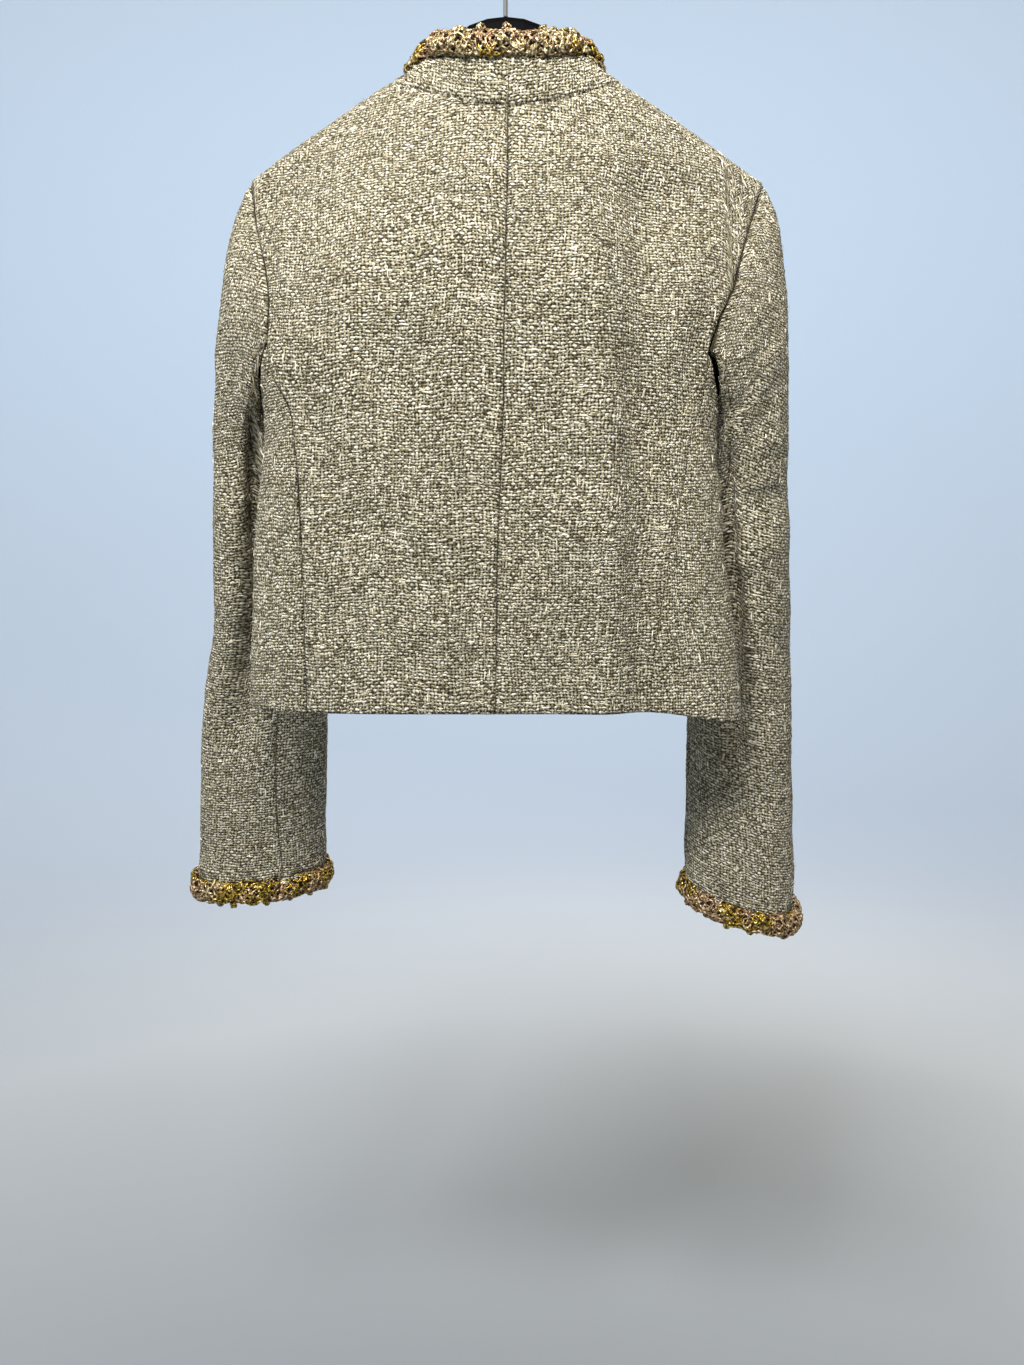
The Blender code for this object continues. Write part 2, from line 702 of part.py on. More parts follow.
def tube_object(name, rings, closed, colour, roughness, metallic=0.0):
    """A solid through rings of points; open ends are capped with a fan."""
    count = len(rings)
    sides = len(rings[0])
    points = [p for ring in rings for p in ring]
    faces = []
    for k in range(count if closed else count - 1):
        following = (k + 1) % count
        for v in range(sides):
            w = (v + 1) % sides
            faces.append((k * sides + v, k * sides + w, following * sides + w, following * sides + v))
    if not closed:
        for k in (0, count - 1):
            points.append(np.mean(rings[k], axis=0))
            for v in range(sides):
                faces.append((k * sides + v, k * sides + (v + 1) % sides, len(points) - 1))
    return mesh_object(name, points, faces, colour, roughness, metallic)


def resample(points, directions, outward, step, closed):
    """Even stations along a path, with its two directions."""
    points, directions, outward = (np.asarray(track) for track in (points, directions, outward))
    if closed:
        points, directions, outward = (np.concatenate([t, t[:1]]) for t in (points, directions, outward))
    lengths = np.concatenate([[0], np.cumsum(np.linalg.norm(np.diff(points, axis=0), axis=1))])
    count = max(int(round(lengths[-1] / step)), 3)
    end = 0 if closed else TRIM_END_GAP
    marks = np.linspace(end, lengths[-1] - end, count + 1)
    if closed:
        marks = marks[:-1]
    tracks = []
    for track in (points, directions, outward):
        tracks.append(np.stack([np.interp(marks, lengths, track[:, k]) for k in range(3)], axis=1))
    return tracks


def trim_object(name, path, away, outward, closed, colour):
    """Knobbly crocheted edging that starts one seam gap past the cloth's edge."""
    path, away, outward = resample(path, away, outward, TRIM_PICOT / TRIM_STEPS, closed)
    foot = math.cos(math.pi / TRIM_SIDES)
    rings = []
    for k in range(len(path)):
        far = unit(away[k])
        out = unit(outward[k] - far * np.dot(outward[k], far))
        ring = []
        for v in range(TRIM_SIDES):
            angle = 2 * math.pi * (v + 0.5) / TRIM_SIDES - math.pi / 2
            free = 0.5 + 0.5 * math.sin(angle)
            picot = math.cos(2 * math.pi * k / TRIM_STEPS + TRIM_TWIST * v)
            uneven = math.cos(TRIM_UNEVEN * k + TRIM_UNEVEN_TWIST * v) / 2
            swell = TRIM_BUMP * free * (picot + uneven)
            up = TRIM_TALL * (foot + math.sin(angle) * (1 + swell))
            across = TRIM_OUT + TRIM_THICK * math.cos(angle) * (1 + swell / 2)
            ring.append(path[k] + far * (SEAM_GAP + max(up, 0.0)) + out * across)
        rings.append(ring)
    return tube_object(name, rings, closed, colour, 0.45, 0.3)


TWEED = (0.33, 0.30, 0.22)
TWEED_SIDE = (0.30, 0.27, 0.20)
TWEED_SLEEVE = (0.28, 0.25, 0.18)
CROCHET = (0.42, 0.30, 0.12)

for side in ("left", "right"):
    for part, face in (("back", 1), ("front", -1)):
        grid = panel_grid(side, face)
        centres = grid * np.array([0.0, 0.0, 1.0]) - np.array([0.0, 0.0, 0.06])
        add_panel(f"{part}_{side}", grid, centres, ["first_row", "first_column", "last_column"])
    grid = side_grid(side)
    centres = grid * np.array([0.0, 0.0, 1.0])
    add_panel(f"side_{side}", grid, centres, ["first_row", "first_column", "last_column"])
    pieces = sleeve_grid(side)
    for part in ("upper", "under"):
        grid, centres = pieces[part]
        add_panel(f"sleeve_{side}_{part}", grid, centres, ["first_row", "first_column", "last_column"])
    grid = collar_grid(side)
    centres = grid * np.array([0.0, 0.0, 1.0]) + NECK_AXIS
    add_panel(f"collar_{side}", grid, centres, ["first_row", "first_column", "last_column"])

shared_normals()
for name, panel in PANELS.items():
    outer, inner = open_seams(panel)
    colour = TWEED_SLEEVE if name.startswith("sleeve") else TWEED_SIDE if name.startswith("side") else TWEED
    shell_object(name, outer, inner, colour, 0.95)
    panel["outer"] = outer
    panel["inner"] = inner

# Cuff edging: the last ring of each sleeve, all the way round
for side in ("left", "right"):
    upper = PANELS[f"sleeve_{side}_upper"]
    under = PANELS[f"sleeve_{side}_under"]
    edge = []
    away = []
    outward = []
    for panel in (upper, under):
        middle = (panel["outer"] + panel["inner"]) / 2
        for c in range(middle.shape[1] - 1):
            edge.append(middle[-1, c])
            away.append(unit(middle[-1, c] - middle[-2, c]))
            outward.append(panel["joined"][-1, c])
    trim_object(f"cuff_trim_{side}", edge, away, outward, True, CROCHET)

# Collar edging: along the top of both halves, from one front end round the back to the other
edge = []
away = []
outward = []
for side, order in (("left", -1), ("right", 1)):
    panel = PANELS[f"collar_{side}"]
    middle = ((panel["outer"] + panel["inner"]) / 2)[:, ::order]
    normals = panel["joined"][:, ::order]
    skip = 1 if side == "right" else 0
    for c in range(skip, middle.shape[1]):
        edge.append(middle[-1, c])
        away.append(unit(middle[-1, c] - middle[-2, c]))
        outward.append(normals[-1, c])
trim_object("collar_trim", edge, away, outward, False, CROCHET)

# Hanger: a smooth hump at the neck, then arms that lie just under the shoulders
HANGER = table("out top tall thick", [
    (0, -75, 26, 9),
    (15, -76.6, 26, 9),
    (30, -81.9, 25, 8.5),
    (42, -93, 23, 8),
    (52, -106, 21, 7),
    (62, -118, 20, 6.5),
    (76, -125, 19, 6),
    (187, -190, 17, 5.6),
])


def hanger_top(x):
    """The arms run just under the cloth, a little lower beside the neck."""
    dip = HANGER_DIP * (1 - smoothstep((abs(x) - HANGER_DIP_FROM) / HANGER_DIP_SPAN))
    arm = crest_z(x) - WALL * math.hypot(1, CREST_SLOPE) - HANGER_ROOM - dip
    neck = read(HANGER, "out", min(abs(x), HANGER_NECK), "top")
    share = smoothstep((abs(x) - HANGER_NECK + HANGER_JOIN / 2) / HANGER_JOIN)
    return neck * (1 - share) + arm * share


rings = []
for k in range(HANGER_STEPS + 1):
    x = -ARM_TIP + 2 * ARM_TIP * k / HANGER_STEPS
    past = max(abs(x) - ARM_TIP + HANGER_TIP_ROUND, 0.0) / HANGER_TIP_ROUND
    end = math.sqrt(max(1 - past ** 2, HANGER_TIP_LEAST))
    tall = read(HANGER, "out", abs(x), "tall") / 2
    thick = read(HANGER, "out", abs(x), "thick") * end
    centre = hanger_top(x) - tall
    ring = []
    for v in range(HANGER_SIDES):
        angle = 2 * math.pi * v / HANGER_SIDES
        across = crest_y(x) + thick * math.cos(angle)
        ring.append(np.array([x, across, centre + tall * end * math.sin(angle)]))
    rings.append(ring)
tube_object("hanger", rings, False, (0.012, 0.012, 0.014), 0.3)

# Hook: straight out of the hanger, a small sideways step, then a round crook over the rail
HOOK_STEM = table("across height", [(0, -75), (0, -68), (0, -61), (1.5, -55), (7, -49), (14, -42.5)])
HOOK_TURNS_DEG = range(-38, 209, 13)
crook = HOOK_INSIDE + HOOK_WIRE
route = list(zip(HOOK_STEM["across"], HOOK_STEM["height"]))
route[0] = (route[0][0], route[0][1] + SEAM_GAP)
for degrees in HOOK_TURNS_DEG:
    angle = math.radians(degrees)
    route.append((crook * math.cos(angle), crook * math.sin(angle) - HOOK_INSIDE))
wire = bpy.data.curves.new("hanger_hook", "CURVE")
wire.dimensions = "3D"
wire.bevel_depth = HOOK_WIRE
wire.bevel_resolution = 2
wire.use_fill_caps = True
spline = wire.splines.new("POLY")
spline.points.add(len(route) - 1)
for point, (x, z) in zip(spline.points, route):
    point.co = (x, 0, z, 1)
hook = bpy.data.objects.new("hanger_hook", wire)
bpy.context.scene.collection.objects.link(hook)
wire.materials.append(material("hanger_hook_finish", (0.62, 0.62, 0.62), 0.25, 1.0))
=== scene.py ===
# A cropped tweed jacket on a contoured hanger, seen from the back.
# Everything is in metres in the frame of the solids: the jacket's front faces -Y, its left is +X.
import math

import bmesh
import bpy
import numpy as np
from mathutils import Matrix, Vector


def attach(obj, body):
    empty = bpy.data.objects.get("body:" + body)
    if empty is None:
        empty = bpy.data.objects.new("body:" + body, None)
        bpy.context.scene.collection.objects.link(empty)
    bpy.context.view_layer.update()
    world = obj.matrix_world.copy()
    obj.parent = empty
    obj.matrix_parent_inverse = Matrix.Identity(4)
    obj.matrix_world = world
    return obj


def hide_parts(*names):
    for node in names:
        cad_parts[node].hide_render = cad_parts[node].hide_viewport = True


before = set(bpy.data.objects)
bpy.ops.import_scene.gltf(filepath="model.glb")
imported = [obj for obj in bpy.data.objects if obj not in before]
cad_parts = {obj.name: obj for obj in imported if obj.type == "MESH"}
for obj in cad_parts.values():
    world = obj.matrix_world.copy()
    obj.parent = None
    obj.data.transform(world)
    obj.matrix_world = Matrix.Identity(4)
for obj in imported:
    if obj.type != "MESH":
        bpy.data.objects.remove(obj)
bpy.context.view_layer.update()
mm = 0.001
rng = np.random.default_rng(7)
scene = bpy.context.scene


# Curves through short tables
def makeTable(columns, rows):
    values = np.array(rows, float)
    made = {}
    for index, name in enumerate(columns.split()):
        plain = name.endswith("Deg") or name.endswith("Share")
        made[name] = values[:, index] * (1 if plain else mm)
    return made


def readTable(data, key, where, column):
    # a smooth curve through the rows that never overshoots them
    xs, ys = data[key], data[column]
    if xs[0] > xs[-1]:
        xs, ys = xs[::-1], ys[::-1]
    where = np.clip(where, xs[0], xs[-1])
    slope = np.diff(ys) / np.diff(xs)
    before, after = slope[:-1], slope[1:]
    same = before * after > 0
    inner = np.where(same, 2 * before * after / np.where(same, before + after, 1), 0)
    bend = np.concatenate([[slope[0]], inner, [slope[-1]]])
    i = np.clip(np.searchsorted(xs, where) - 1, 0, len(xs) - 2)
    run = xs[i + 1] - xs[i]
    t = (where - xs[i]) / run
    start = (1 + 2 * t) * (1 - t) ** 2 * ys[i] + t * (1 - t) ** 2 * run * bend[i]
    return start + t * t * (3 - 2 * t) * ys[i + 1] + t * t * (t - 1) * run * bend[i + 1]


def smoothstep(t):
    t = np.clip(t, 0, 1)
    return t * t * (3 - 2 * t)


def unit(vectors):
    return vectors / np.maximum(np.linalg.norm(vectors, axis=-1, keepdims=True), 1e-12)


# The torso: flat oval sections under two sloping shoulders, as in the solids.
# A face is 1 for the back and -1 for the front.
torso = {
    "backPower": 2.6,
    "frontPower": 1.75,
    "crestTop": -91.8 * mm,
    "crestSlope": 0.64,
    "crestSwell": 2.2 * mm,
    "crestSwellAt": 150 * mm,
    "crestSwellSpan": 45 * mm,
    "crestRound": 50 * mm,
    "crestForward": 22 * mm,
    "crestReach": 210 * mm,
    "crestRadius": 14 * mm,
    "crestFade": 80 * mm,
    "shoulderFill": 200 * mm,
    "shoulderPower": 1.5,
    "tipEaseDeg": 12,  # over which the armhole seam runs up to the crest
    "underarmPull": 1.4,
    "neckHalf": 92 * mm,
    "neckLow": {1: -160 * mm, -1: -205 * mm},
    "neckPower": {1: 1.7, -1: 1.55},
    "neckEven": 0.5,
    "frontNeckBunch": 1.6,
    "middleSpacingDeg": 125,
    "middleBackZ": -360 * mm,
    "foldFade": 60 * mm,
    "grainZ": -350 * mm,  # the weave is straight from here up and down
    "sideSeamEase": 60 * mm,
    "hemCorner": 150 * mm,  # where the hem's height is read for the side seams
    "sections": makeTable("height middle left right back front", [
        (-90, -2, 240, 242, 78, 76),
        (-200, -2, 240, 240, 78, 76),
        (-250, -1, 236, 232, 78, 76),
        (-300, 0, 224, 210, 77, 74),
        (-337, 1, 206, 181, 76, 72),
        (-374, 1, 194, 171, 75, 70),
        (-400, 2, 192, 171, 74, 69),
        (-451, 4, 197, 178, 73, 69),
        (-499, 6, 198, 185, 72, 70),
        (-548, 6.5, 201, 191.5, 71, 71),
        (-605, 7.5, 202, 201, 69, 72),
        (-632, 8, 202, 203, 69, 72),
    ]),
    "hem": makeTable("across height", [
        (-210, -631), (-190, -630), (-146, -622.5), (-105, -618), (0, -618), (210, -618.5)]),
    # soft folds: a line from top to bottom, its width and how far it stands out
    "folds": makeTable("faceShare topX topZ lowX lowZ width out", [
        (1, -74, -190, -86, -600, 20, 3.0),
        (1, -104, -200, -112, -640, 20, -5.5),
        (1, -150, -420, -150, -640, 20, 3.5),
        (1, 120, -240, 128, -620, 34, 2.0),
        (1, 168, -330, 120, -470, 16, -2.5),
        (1, -128, -400, -156, -330, 12, -2.5),
        (-1, 70, -260, 84, -620, 26, 4.0),
        (-1, 118, -330, 110, -620, 18, -4.0),
        (-1, -66, -260, -80, -620, 26, 4.0),
        (-1, -112, -330, -108, -620, 18, -4.0),
    ]),
}

armholes = {
    "left": {
        "top": -198.5 * mm,
        "bottom": -372 * mm,
        1: makeTable("turnDeg out", [(0, 206.5), (50, 199), (85, 187), (105, 182.5), (123, 183.5)]),
        -1: makeTable("turnDeg out", [(0, 206.5), (50, 195), (85, 180), (105, 174), (123, 173)]),
    },
    "right": {
        "top": -199.5 * mm,
        "bottom": -373.5 * mm,
        1: makeTable("turnDeg out", [
            (0, 210), (41, 198.5), (75, 184), (91, 177.5), (113, 164), (128, 159.5)]),
        -1: makeTable("turnDeg out", [
            (0, 210), (41, 197), (75, 180), (91, 172), (113, 162), (128, 158)]),
    },
}

sideSeams = {
    "left": makeTable("height back front", [
        (-330, 183, 173), (-385, 165.5, 160), (-441, 160, 154),
        (-505, 157, 150), (-583, 155.5, 148), (-640, 155, 147)]),
    "right": makeTable("height back front", [
        (-330, 160, 158), (-385, 152, 150), (-441, 142, 146),
        (-505, 127, 143), (-583, 116, 141), (-640, 113, 140)]),
}

# steps along the edges of the solids' panels
steps = {"armBack": 9, "armSide": 6, "armFront": 9, "low": 9, "neck": 5, "shoulder": 8}
signs = {"left": 1, "right": -1}


def middleX(z):
    return readTable(torso["sections"], "height", z, "middle")


def crestZ(x):
    offSwell = (np.abs(x) - torso["crestSwellAt"]) / torso["crestSwellSpan"]
    swell = torso["crestSwell"] * np.exp(-(offSwell**2))
    sink = torso["crestSlope"] * (np.hypot(x, torso["crestRound"]) - torso["crestRound"])
    return torso["crestTop"] + swell - sink


def lineOut(lines, fade, face, x, z):
    # how far soft ridges and troughs along straight lines stand out at x and z
    out = np.zeros(np.broadcast(x, z).shape)
    for i in range(len(lines["out"])):
        runX = lines["lowX"][i] - lines["topX"][i]
        runZ = lines["lowZ"][i] - lines["topZ"][i]
        length = math.hypot(runX, runZ)
        along = ((x - lines["topX"][i]) * runX + (z - lines["topZ"][i]) * runZ) / length
        off = ((x - lines["topX"][i]) * runZ - (z - lines["topZ"][i]) * runX) / length
        ends = smoothstep(0.5 + along / fade) * smoothstep(0.5 + (length - along) / fade)
        here = lines["out"][i] * ends * np.exp(-((off / lines["width"][i]) ** 2))
        out += np.where(face == lines["faceShare"][i], here, 0)
    return out


def torsoPoint(side, face, turn, z):
    # turn is 0 at the side and 90 degrees at the middle of the back or front
    face, turn, z = np.broadcast_arrays(face, turn, z)
    sections = torso["sections"]
    power = np.where(face > 0, torso["backPower"], torso["frontPower"])
    out = readTable(sections, "height", z, side) * np.maximum(np.cos(turn), 0) ** (2 / power)
    x = middleX(z) + signs[side] * out
    back = readTable(sections, "height", z, "back")
    depth = np.where(face > 0, back, readTable(sections, "height", z, "front"))
    drop = np.maximum(crestZ(x) - z, 0)
    leftOver = 1 - np.minimum(drop / torso["shoulderFill"], 1)
    fill = (1 - leftOver ** torso["shoulderPower"]) ** (1 / torso["shoulderPower"])
    forward = -torso["crestForward"] * (np.abs(x) / torso["crestReach"]) ** 2
    lean = forward * (1 - smoothstep(drop / torso["shoulderFill"]))
    sine = np.maximum(np.sin(turn), 0)
    folded = lineOut(torso["folds"], torso["foldFade"], face, x, z)
    main = fill * (depth * sine ** (2 / power) + folded * sine)
    cap = torso["crestRadius"] * np.sqrt(1 - (1 - np.minimum(drop / torso["crestRadius"], 1)) ** 2)
    y = lean + face * np.hypot(main, cap * (1 - smoothstep(drop / torso["crestFade"])))
    return np.stack([x, y, z], axis=-1)


def turnAt(side, face, x, z):
    power = torso["backPower"] if face > 0 else torso["frontPower"]
    share = np.minimum(np.abs(x - middleX(z)) / readTable(torso["sections"], "height", z, side), 1)
    return np.arccos(share ** (power / 2))


def panelPoint(side, face, x, z):
    return torsoPoint(side, face, turnAt(side, face, x, z), z)


def armholeTurns(side):
    last = armholes[side][1]["turnDeg"][-1]
    back = np.linspace(0, last, steps["armBack"] + 1)
    under = np.linspace(last, 360 - last, steps["armSide"] + 1)
    front = np.linspace(360 - last, 360, steps["armFront"] + 1)
    return np.concatenate([back[:-1], under[:-1], front])


def armholeFlat(side, face, angle):
    # turn on the torso and height of the armhole seam, angle degrees down from the shoulder
    hole = armholes[side]
    middle = (hole["top"] + hole["bottom"]) / 2
    reach = (hole["top"] - hole["bottom"]) / 2
    z = middle + reach * np.cos(np.radians(angle))
    rows = hole[face]
    last = rows["turnDeg"][-1]
    x = signs[side] * readTable(rows, "turnDeg", np.minimum(angle, last), "out")
    top = crestZ(signs[side] * rows["out"][0])
    tip = torso["tipEaseDeg"]
    z = np.where(angle < tip, z + (top - hole["top"]) * (1 - smoothstep(angle / tip)), z)
    z = np.minimum(z, crestZ(x))
    lowZ = middle + reach * math.cos(math.radians(last))
    start = turnAt(side, face, signs[side] * rows["out"][-1], np.float64(lowZ))
    under = start * np.maximum((180 - angle) / (180 - last), 0) ** torso["underarmPull"]
    return np.where(angle <= last, turnAt(side, face, x, z), under), z


def armholePoint(side, degrees):
    degrees = np.mod(degrees, 360)
    backTurn, backZ = armholeFlat(side, 1, np.minimum(degrees, 180))
    frontTurn, frontZ = armholeFlat(side, -1, np.minimum(360 - degrees, 180))
    onBack = (degrees <= 180)[:, None]
    return np.where(onBack, torsoPoint(side, 1, backTurn, backZ), torsoPoint(side, -1, frontTurn, frontZ))


def hemZ(x):
    return readTable(torso["hem"], "across", x, "height")


def seamX(side, face, z):
    rows = armholes[side][face]
    drawn = readTable(sideSeams[side], "height", z, "back" if face > 0 else "front")
    top = armholeFlat(side, face, rows["turnDeg"][-1])[1]
    near = smoothstep((top - z) / torso["sideSeamEase"])
    return signs[side] * (rows["out"][-1] * (1 - near) + drawn * near)


def neckFlat(side, face, index):
    share = index / steps["neck"]
    if face < 0:
        share = 1 - (1 - share) ** torso["frontNeckBunch"]
    lowZ = torso["neckLow"][face]
    along = np.sin(share * math.pi / 2) * torso["neckEven"] + share * (1 - torso["neckEven"])
    start = middleX(lowZ)
    x = start + (signs[side] * torso["neckHalf"] - start) * along
    z = lowZ + (crestZ(torso["neckHalf"]) - lowZ) * along ** torso["neckPower"][face]
    return np.stack([x, z], axis=-1)


def blendEdges(top, bottom, near, far, rows, columns):
    # a four-sided patch from its four edges, at fractions of its rows and columns
    a = columns[None, :, None]
    b = rows[:, None, None]
    across = (1 - b) * top[None] + b * bottom[None]
    down = (1 - a) * near[:, None] + a * far[:, None]
    corners = (1 - b) * ((1 - a) * top[0] + a * top[-1]) + b * ((1 - a) * bottom[0] + a * bottom[-1])
    return across + down - corners


def panelFlat(side, face, rows, columns):
    # x and height of a back or front panel at marks counted in the solids' steps
    sign = signs[side]
    arm = steps["armBack"]
    last = armholes[side][face]["turnDeg"][-1]
    tip = sign * armholes[side][face]["out"][0]
    half = sign * torso["neckHalf"]
    low = torso["neckLow"][face]
    wide = steps["shoulder"] + (steps["neck"] if face > 0 else 0)
    onNeck = steps["neck"] if face > 0 else 0
    shoulderX = half + (tip - half) * (columns - onNeck) / steps["shoulder"]
    top = np.stack([shoulderX, crestZ(shoulderX)], axis=-1)
    if face > 0:
        top = np.where((columns < onNeck)[:, None], neckFlat(side, 1, np.minimum(columns, onNeck)), top)
    angle = last * np.minimum(rows / arm, 1)
    turn, armZ = armholeFlat(side, face, angle)
    armX = torsoPoint(side, face, turn, armZ)[:, 0]
    armX = np.where(rows == 0, tip, armX)
    armZ = np.where(rows == 0, crestZ(tip), armZ)
    endZ = armholeFlat(side, face, last)[1]
    hemEdgeX = seamX(side, face, hemZ(sign * torso["hemCorner"]))
    sideZ = endZ + (hemZ(hemEdgeX) - endZ) * (rows - arm) / steps["low"]
    onArm = np.stack([armX, armZ], axis=-1)
    onSide = np.stack([seamX(side, face, sideZ), sideZ], axis=-1)
    far = np.where((rows <= arm)[:, None], onArm, onSide)
    if face > 0:
        whole = 1 - math.cos(math.radians(torso["middleSpacingDeg"]))
        share = (1 - np.cos(np.radians(torso["middleSpacingDeg"] * np.minimum(rows / arm, 1)))) / whole
        upper = low + (torso["middleBackZ"] - low) * share
        lower = torso["middleBackZ"] + (hemZ(0) - torso["middleBackZ"]) * (rows - arm) / steps["low"]
        z = np.where(rows <= arm, upper, lower)
        near = np.stack([middleX(z), z], axis=-1)
    else:
        neck = neckFlat(side, -1, steps["neck"] - np.minimum(rows, steps["neck"]))
        total = arm + steps["low"] - steps["neck"]
        z = low + (hemZ(0) - low) * (rows - steps["neck"]) / total
        near = np.where((rows <= steps["neck"])[:, None], neck, np.stack([middleX(z), z], axis=-1))
    bottomX = near[-1, 0] + (far[-1, 0] - near[-1, 0]) * columns / wide
    bottom = np.stack([bottomX, hemZ(bottomX)], axis=-1)
    return blendEdges(top, bottom, near, far, rows / rows[-1], columns / wide)


def sideFlat(side, rows, columns):
    # turn (less than 0 in front) and height of a side panel
    turns = armholeTurns(side)
    degrees = np.interp(columns + steps["armBack"], np.arange(len(turns)), turns)
    backTurn, backZ = armholeFlat(side, 1, np.minimum(degrees, 180))
    frontTurn, frontZ = armholeFlat(side, -1, np.minimum(360 - degrees, 180))
    onBack = degrees <= 180
    top = np.stack([np.where(onBack, backTurn, -frontTurn), np.where(onBack, backZ, frontZ)], axis=-1)
    edges = []
    for face, start in ((1, top[0]), (-1, top[-1])):
        hemEdgeX = seamX(side, face, hemZ(signs[side] * torso["hemCorner"]))
        z = start[1] + (hemZ(hemEdgeX) - start[1]) * rows / steps["low"]
        turn = face * turnAt(side, face, seamX(side, face, z), z)
        turn[0] = start[0]
        edges.append(np.stack([turn, z], axis=-1))
    near, far = edges
    share = 1 - 2 * columns / steps["armSide"]
    turn = np.where(share > 0, near[-1, 0], far[-1, 0]) * np.abs(share) ** torso["underarmPull"]
    x = torsoPoint(side, np.where(turn >= 0, 1, -1), np.abs(turn), near[-1, 1])[:, 0]
    bottom = np.stack([turn, hemZ(x)], axis=-1)
    bottom[0], bottom[-1] = near[-1], far[-1]
    return blendEdges(top, bottom, near, far, rows / steps["low"], columns / steps["armSide"])


# Sleeves: rings between an outer and an inner edge, the first ring is the armhole seam
sleeves = {
    "frontSeamDeg": 236,
    # the solids' rings, as shares of the way to the cuff
    "reaches": [0, 0.025, 0.055, 0.09, 0.125, 0.16, 0.2, 0.245, 0.29, 0.34, 0.39, 0.445, 0.5, 0.555, 0.61,
                0.67, 0.735, 0.8, 0.865, 0.935, 1.0],
    "armholeBlend": 0.3,
    "armholeEase": 1.6,
    "square": 2.3,
    "cuffTilt": {"left": 0.20, "right": 0.27},
    "cuffTiltFrom": 0.6,
    "foldFrom": 0.05,
    "left": makeTable("reachShare outX outY outZ inX inY inZ back front elbowDeg", [
        (0.00, 206.5, -21, -198.5, 195, -2, -372, 50, 50, 123),
        (0.05, 218, -20, -221, 197, -4, -380, 50, 50, 121),
        (0.12, 229, -20, -268, 198, -10, -392, 48, 48, 118),
        (0.20, 235, -18, -316, 196, -24, -411, 42, 45, 114),
        (0.32, 240, -14, -392, 192, -58, -450, 32, 38, 108),
        (0.44, 240.5, -14, -458, 186, -84, -498, 27, 34, 102),
        (0.55, 244, -28, -526, 176, -102, -552, 26, 32, 97),
        (0.70, 266, -62, -620, 168, -110, -634, 29, 32, 93),
        (0.83, 278, -82, -696, 169, -116, -700, 31, 32, 97),
        (1.00, 287, -98, -787, 172, -122, -780, 32, 32, 108),
    ]),
    "right": makeTable("reachShare outX outY outZ inX inY inZ back front elbowDeg", [
        (0.00, 210, -21, -199.5, 171, -2, -373.5, 50, 50, 128),
        (0.05, 219, -20, -221, 174, -4, -380, 52, 50, 130),
        (0.12, 227, -20, -268, 176, -8, -392, 51, 48, 134),
        (0.20, 230, -18, -316, 175, -16, -412, 47, 45, 138),
        (0.32, 233, -18, -392, 173, -34, -452, 42, 40, 142),
        (0.44, 236, -20, -458, 172, -50, -500, 38, 36, 146),
        (0.55, 240, -28, -526, 170, -64, -552, 36, 34, 150),
        (0.70, 247, -46, -620, 166, -82, -634, 35, 34, 154),
        (0.83, 254, -60, -696, 166, -92, -700, 36, 35, 157),
        (1.00, 262, -76, -812, 168, -102, -786, 36, 36, 160),
    ]),
    "folds": {
        "left": makeTable("reachShare turnDeg reachSpanShare turnSpanDeg out", [
            (0.30, 60, 0.05, 40, -2.5),
            (0.52, 30, 0.04, 50, -3.0),
            (0.58, 50, 0.03, 50, 2.0),
        ]),
        "right": makeTable("reachShare turnDeg reachSpanShare turnSpanDeg out", [
            (0.10, 120, 0.05, 22, 5.0),
            (0.20, 80, 0.03, 40, 2.0),
            (0.26, 95, 0.03, 40, -2.5),
            (0.40, 60, 0.03, 50, -2.0),
            (0.47, 70, 0.03, 50, 2.0),
        ]),
    },
}


def sleeveRing(side, reach, base):
    # points of a ring and their angles round it, from base angles round the armhole
    data = sleeves[side]

    def value(name, at):
        return float(readTable(data, "reachShare", np.float64(at), name))

    def ends(at):
        outer = np.array([signs[side] * value("outX", at), value("outY", at), value("outZ", at)])
        inner = np.array([signs[side] * value("inX", at), value("inY", at), value("inZ", at)])
        return outer, inner

    def oval(at, angle):
        outer, inner = ends(at)
        longAxis = (outer - inner) / 2
        along = unit(longAxis)
        across = unit(np.array([0.0, 1.0, 0.0]) - along[1] * along)
        sine, cosine = np.sin(angle), np.cos(angle)
        depth = np.where(sine > 0, value("back", at), value("front", at))
        tiltFrom = sleeves["cuffTiltFrom"]
        tilt = -sleeves["cuffTilt"][side] * smoothstep((at - tiltFrom) / (1 - tiltFrom))
        power = sleeves["square"]
        square = (np.abs(cosine) ** power + np.abs(sine) ** power) ** (-1 / power)
        rise = (cosine * square)[:, None] * longAxis + (depth * sine * square)[:, None] * across
        rise[:, 2] += tilt * depth * across[1] * sine * square
        return (outer + inner) / 2 + rise

    turns = armholeTurns(side)
    marks = [0, turns[steps["armBack"]], turns[steps["armBack"] + steps["armSide"]], 360]
    turned = np.interp(base, marks, [0, value("elbowDeg", reach), sleeves["frontSeamDeg"], 360])
    spread = smoothstep(reach / sleeves["armholeBlend"])
    weight = max(1 - reach / sleeves["armholeBlend"], 0) ** sleeves["armholeEase"]
    angle = np.radians(base * (1 - spread) + turned * spread)
    points = oval(reach, angle)
    if weight > 0:
        points = points + weight * (armholePoint(side, base) - oval(0, np.radians(base)))
    folds = sleeves["folds"][side]
    push = np.zeros(len(base))
    for i in range(len(folds["out"])):
        near = (reach - folds["reachShare"][i]) / folds["reachSpanShare"][i]
        roundBy = (np.degrees(angle) - folds["turnDeg"][i]) / folds["turnSpanDeg"][i]
        push += folds["out"][i] * np.exp(-near * near - roundBy * roundBy)
    centre = sum(ends(reach)) / 2
    away = unit(points - centre)
    return points + away * (push * smoothstep(reach / sleeves["foldFrom"]))[:, None], np.degrees(angle)


